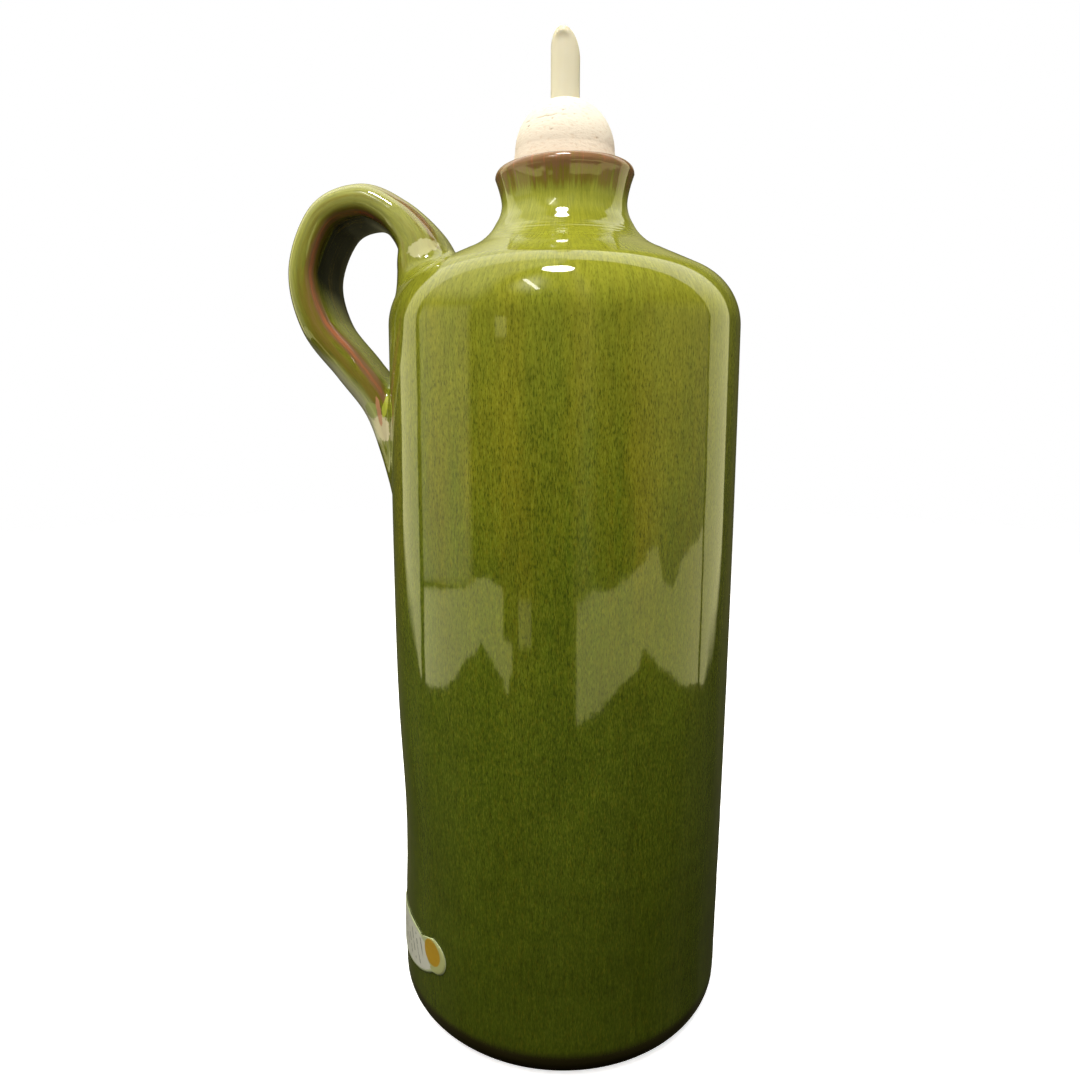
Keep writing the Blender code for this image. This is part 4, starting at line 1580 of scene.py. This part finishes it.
# %% The cork
cork = outline_object("cork", cork_outline())
run_nodes(cork, cork_tree(cork_material()), {"Sides": CORK_SIDES})
turn_out(cork.data)
print("cork:", len(cork.data.polygons), "faces, pointing out:", faces_out(cork.data))
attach(cork, "root")
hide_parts("cork_stopper")

# %% [markdown]
# ## The pouring tube
#
# A moulded tube of ivory plastic, cut at a slant like a quill. Where it was cut the rim is soft,
# and the highest point has curled over into a small bead. The tube is swept as rings, outer wall
# up and inner wall down, with a few narrow rings that round the rim; the bead pushes the outer
# wall out in a small patch below the tip.

# %% Sizes of the tube
SPOUT_BORE = 0.0024
SPOUT_FOOT = 0.1972
SPOUT_MIDDLE = 0.2461
SPOUT_CUT_RISE = 0.0049
SPOUT_CUT_TOWARDS = math.radians(-99)
SPOUT_CUT_STRETCH = 1.07
SPOUT_SIDES = 72
RIM_ROUND = 0.00045
BEAD_BELOW = 0.0011
BEAD_HEIGHT = 0.0008
BEAD_SPREAD = 0.10
BEAD_PUSH = 0.00042


def tube_rings():
    """Rings of the tube, from its foot up the outer wall, over the rim and down the bore."""
    angles = np.linspace(0.0, 2 * math.pi, SPOUT_SIDES, endpoint=False)
    facing = np.cos(angles - SPOUT_CUT_TOWARDS)

    def ring(radius, share, drop):
        rise = SPOUT_CUT_RISE * SPOUT_CUT_STRETCH * radius / SPOUT_RADIUS
        top = SPOUT_MIDDLE + rise * facing - drop
        height = SPOUT_FOOT + (top - SPOUT_FOOT) * share
        if radius >= SPOUT_RADIUS - RIM_ROUND:
            below = (top - height) - BEAD_BELOW
            bead = np.exp(-((below / BEAD_HEIGHT) ** 2) - ((1 - facing) / BEAD_SPREAD) ** 2)
            radius = radius + BEAD_PUSH * bead
        return np.stack([radius * np.cos(angles), radius * np.sin(angles), height], axis=1)

    shares = [*np.linspace(0.0, 0.78, 8), *np.linspace(0.79, 1.0, 36)]
    rings = [ring(SPOUT_RADIUS, share, RIM_ROUND) for share in shares]
    half, middle = (SPOUT_RADIUS - SPOUT_BORE) / 2, (SPOUT_RADIUS + SPOUT_BORE) / 2
    for angle in np.linspace(0.0, math.pi, 9)[1:]:
        rings.append(ring(middle + half * math.cos(angle), 1.0, RIM_ROUND * (1 - math.sin(angle))))
    rings += [ring(SPOUT_BORE, share, RIM_ROUND) for share in (0.75, 0.5, 0.25, 0.0)]
    return np.array(rings)


# %% The tube's material
IVORY = (0.640, 0.600, 0.447)
IVORY_STAIN = (0.59, 0.542, 0.375)
IVORY_DRAG = (0.53, 0.48, 0.34)


def tube_material():
    material, s, shader = new_material(
        "ivory_plastic",
        Roughness=0.45,
        Subsurface_Weight=0.15,
        Subsurface_Radius=(0.002, 0.0015, 0.0008),
        Subsurface_Scale=1.0,
    )
    spot = object_spot(s)
    drag = fibres(s, spot, 0.0005, 0.012, 2.0, 1.6)
    stain = fibres(s, spot, 0.0030, 0.0060, 2.0, 2.0)
    colour = s.mix(s.times(stain, 0.35), IVORY, IVORY_STAIN)
    s.put(shader["Base Color"], s.mix(s.times(drag, 0.15), colour, IVORY_DRAG))
    s.put(shader["Roughness"], s.times_plus(drag, 0.14, 0.32))
    set_bump(s, shader, drag, 0.00003, 0.4)
    return material


# %% The tube
tube_mesh = ring_mesh("spout", tube_rings())
tube_mesh.set_sharp_from_angle(angle=math.radians(50))
tube_mesh.materials.append(tube_material())
spout = put_in_scene("spout", tube_mesh)
print("tube:", len(tube_mesh.polygons), "faces, pointing out:", faces_out(tube_mesh))
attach(spout, "root")
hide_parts("pour_spout")

# %% [markdown]
# ## The label
#
# A thin printed sticker wrapped on the wall: an off-white oval whose right end carries a round
# orange dot in a pale ring. It is laid out flat, in metres along and up, then each point is
# wrapped onto the wall by a ray that looks for the glaze from outside. Its print is drawn from the
# same flat coordinates, kept as an attribute, so it can't slide.

# %% Sizes of the label
LABEL_LIFT = 0.00012
LABEL_THICKNESS = 0.00022
LABEL_ROLL = 0.4 * LABEL_THICKNESS  # how far the upper rim is rolled down, as a cut edge is
LABEL_TURN = math.radians(-154)
LABEL_HEIGHT = 0.0203
LABEL_LENGTH = 0.0375
LABEL_WIDTH = 0.0130
LABEL_TILT = math.radians(4)
LABEL_DISC = (0.0181, 0.0021)
LABEL_DISC_RADIUS = 0.0047
LABEL_SIDES = 192
LABEL_RINGS = 24


def label_reach(angle):
    """How far the label runs from its middle this way: an oval with a round disc at one end."""
    cos, sin = math.cos(angle), math.sin(angle)
    oval = 1 / math.hypot(cos / (LABEL_LENGTH / 2), sin / (LABEL_WIDTH / 2))
    towards = LABEL_DISC[0] * cos + LABEL_DISC[1] * sin
    beside = LABEL_DISC[1] * cos - LABEL_DISC[0] * sin
    if towards < 0 or abs(beside) >= LABEL_DISC_RADIUS:
        return oval
    return max(oval, towards + math.sqrt(LABEL_DISC_RADIUS**2 - beside**2))


def wrap(along, up, lift):
    """The spot on the wall at this place of the flat label, lifted off it."""
    run = along * math.cos(LABEL_TILT) - up * math.sin(LABEL_TILT)
    height = LABEL_HEIGHT + along * math.sin(LABEL_TILT) + up * math.cos(LABEL_TILT)
    turn = LABEL_TURN + run / BASE_RADIUS
    out = Vector((math.cos(turn), math.sin(turn), 0.0))
    start = out * (BASE_RADIUS * 1.5)
    start.z = height
    spot, normal, _, _ = wall_search.ray_cast(start, -out)
    return spot + normal * lift


# %% The label's print
PAPER = (0.62, 0.62, 0.52)
PAPER_SHADE = (0.52, 0.53, 0.42)
ORANGE = (0.44, 0.255, 0.014)
ORANGE_SHADE = (0.36, 0.22, 0.014)
PALE_RIM = (0.42, 0.47, 0.24)
PALE_RING = (0.40, 0.42, 0.17)
INK = (0.055, 0.060, 0.035)
DOT_OFF_DISC = (-0.0009, 0.0006)
DOT_RADIUS = 0.0036
STROKE_SPACING = 0.0029
STROKE_HEIGHT = 0.0034
STROKES_END = 0.0118


def strokes(s, flat):
    """A few slanted strokes that mean nothing and stand for the print."""
    along, up, _ = s.xyz(flat)
    slant = s.times_plus(up, 0.35, along)
    stroke = s.ease(s.math("SINE", s.times(slant, 2 * math.pi / STROKE_SPACING)), 0.70, 0.82)
    broken = s.ease(fibres(s, flat, 0.0022, 0.0022, 1.0, 2.0), 0.40, 0.48)
    tall = s.ease(s.math("ABSOLUTE", up), STROKE_HEIGHT + 0.0006, STROKE_HEIGHT)
    return s.times(stroke, broken, tall, s.ease(along, STROKES_END + 0.001, STROKES_END, 0.0, 0.75))


def label_material():
    material, s, shader = new_material("label_paper", Roughness=0.42)
    flat = attribute(s, "print", "Vector")
    mottle = fibres(s, object_spot(s), 0.0012, 0.0012, 3.0, 1.8)
    paper = s.mix(s.times(mottle, 0.25), PAPER, PAPER_SHADE)
    orange = s.mix(s.times(mottle, 0.25), ORANGE, ORANGE_SHADE)
    from_disc = s.vector("LENGTH", s.vector("SUBTRACT", flat, (*LABEL_DISC, 0.0)))
    dot_middle = (LABEL_DISC[0] + DOT_OFF_DISC[0], LABEL_DISC[1] + DOT_OFF_DISC[1], 0.0)
    from_dot = s.vector("LENGTH", s.vector("SUBTRACT", flat, dot_middle))
    # 1 at the oval's own rim
    oval = s.vector("LENGTH", s.vector("DIVIDE", flat, (LABEL_LENGTH / 2, LABEL_WIDTH / 2, 1.0)))
    rimmed = s.mix(s.ease(oval, 0.90, 0.955), paper, PALE_RIM)
    off_disc = s.ease(from_disc, LABEL_DISC_RADIUS - 0.0003, LABEL_DISC_RADIUS - 0.0001)
    colour = s.mix(off_disc, PALE_RING, rimmed)
    colour = s.mix(s.times(s.ease(oval, 0.90, 0.88), s.ease(from_disc, 0.0037, 0.0040)), colour, paper)
    colour = s.mix(s.ease(from_dot, DOT_RADIUS, DOT_RADIUS - 0.0002), colour, orange)
    s.put(shader["Base Color"], s.mix(strokes(s, flat), colour, INK))
    s.put(shader["Roughness"], s.times_plus(mottle, 0.15, 0.36))
    set_bump(s, shader, mottle, 0.00004, 0.3)
    return material


# %% The label
def label_mesh():
    """The sticker's skin: its under side from middle to rim, then its upper side back again."""
    top = LABEL_LIFT + LABEL_THICKNESS
    shares = [ring / LABEL_RINGS for ring in range(1, LABEL_RINGS + 1)]
    layers = [(share, LABEL_LIFT) for share in shares] + [(share, top) for share in reversed(shares)]
    layers[LABEL_RINGS] = (1.0, top - LABEL_ROLL)
    spots, prints = [], []
    for share, lift in layers:
        for side in range(LABEL_SIDES):
            angle = 2 * math.pi * side / LABEL_SIDES
            reach = share * label_reach(angle)
            along, up = reach * math.cos(angle), reach * math.sin(angle)
            spots.append(wrap(along, up, lift))
            prints.append((along, up, 0.0))
    rings = np.array(spots, dtype=float).reshape(-1, LABEL_SIDES, 3)
    middles = (wrap(0.0, 0.0, LABEL_LIFT), wrap(0.0, 0.0, top))
    mesh = ring_mesh("label_sheet", rings, middles)
    prints += [(0.0, 0.0, 0.0)] * len(middles)
    mesh.attributes.new("print", "FLOAT_VECTOR", "POINT").data.foreach_set("vector", np.ravel(prints))
    return mesh


label_data = label_mesh()
label_data.materials.append(label_material())
label = put_in_scene("paper_label", label_data)
print("label:", len(label_data.polygons), "faces, pointing out:", faces_out(label_data))
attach(label, "root")
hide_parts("label")
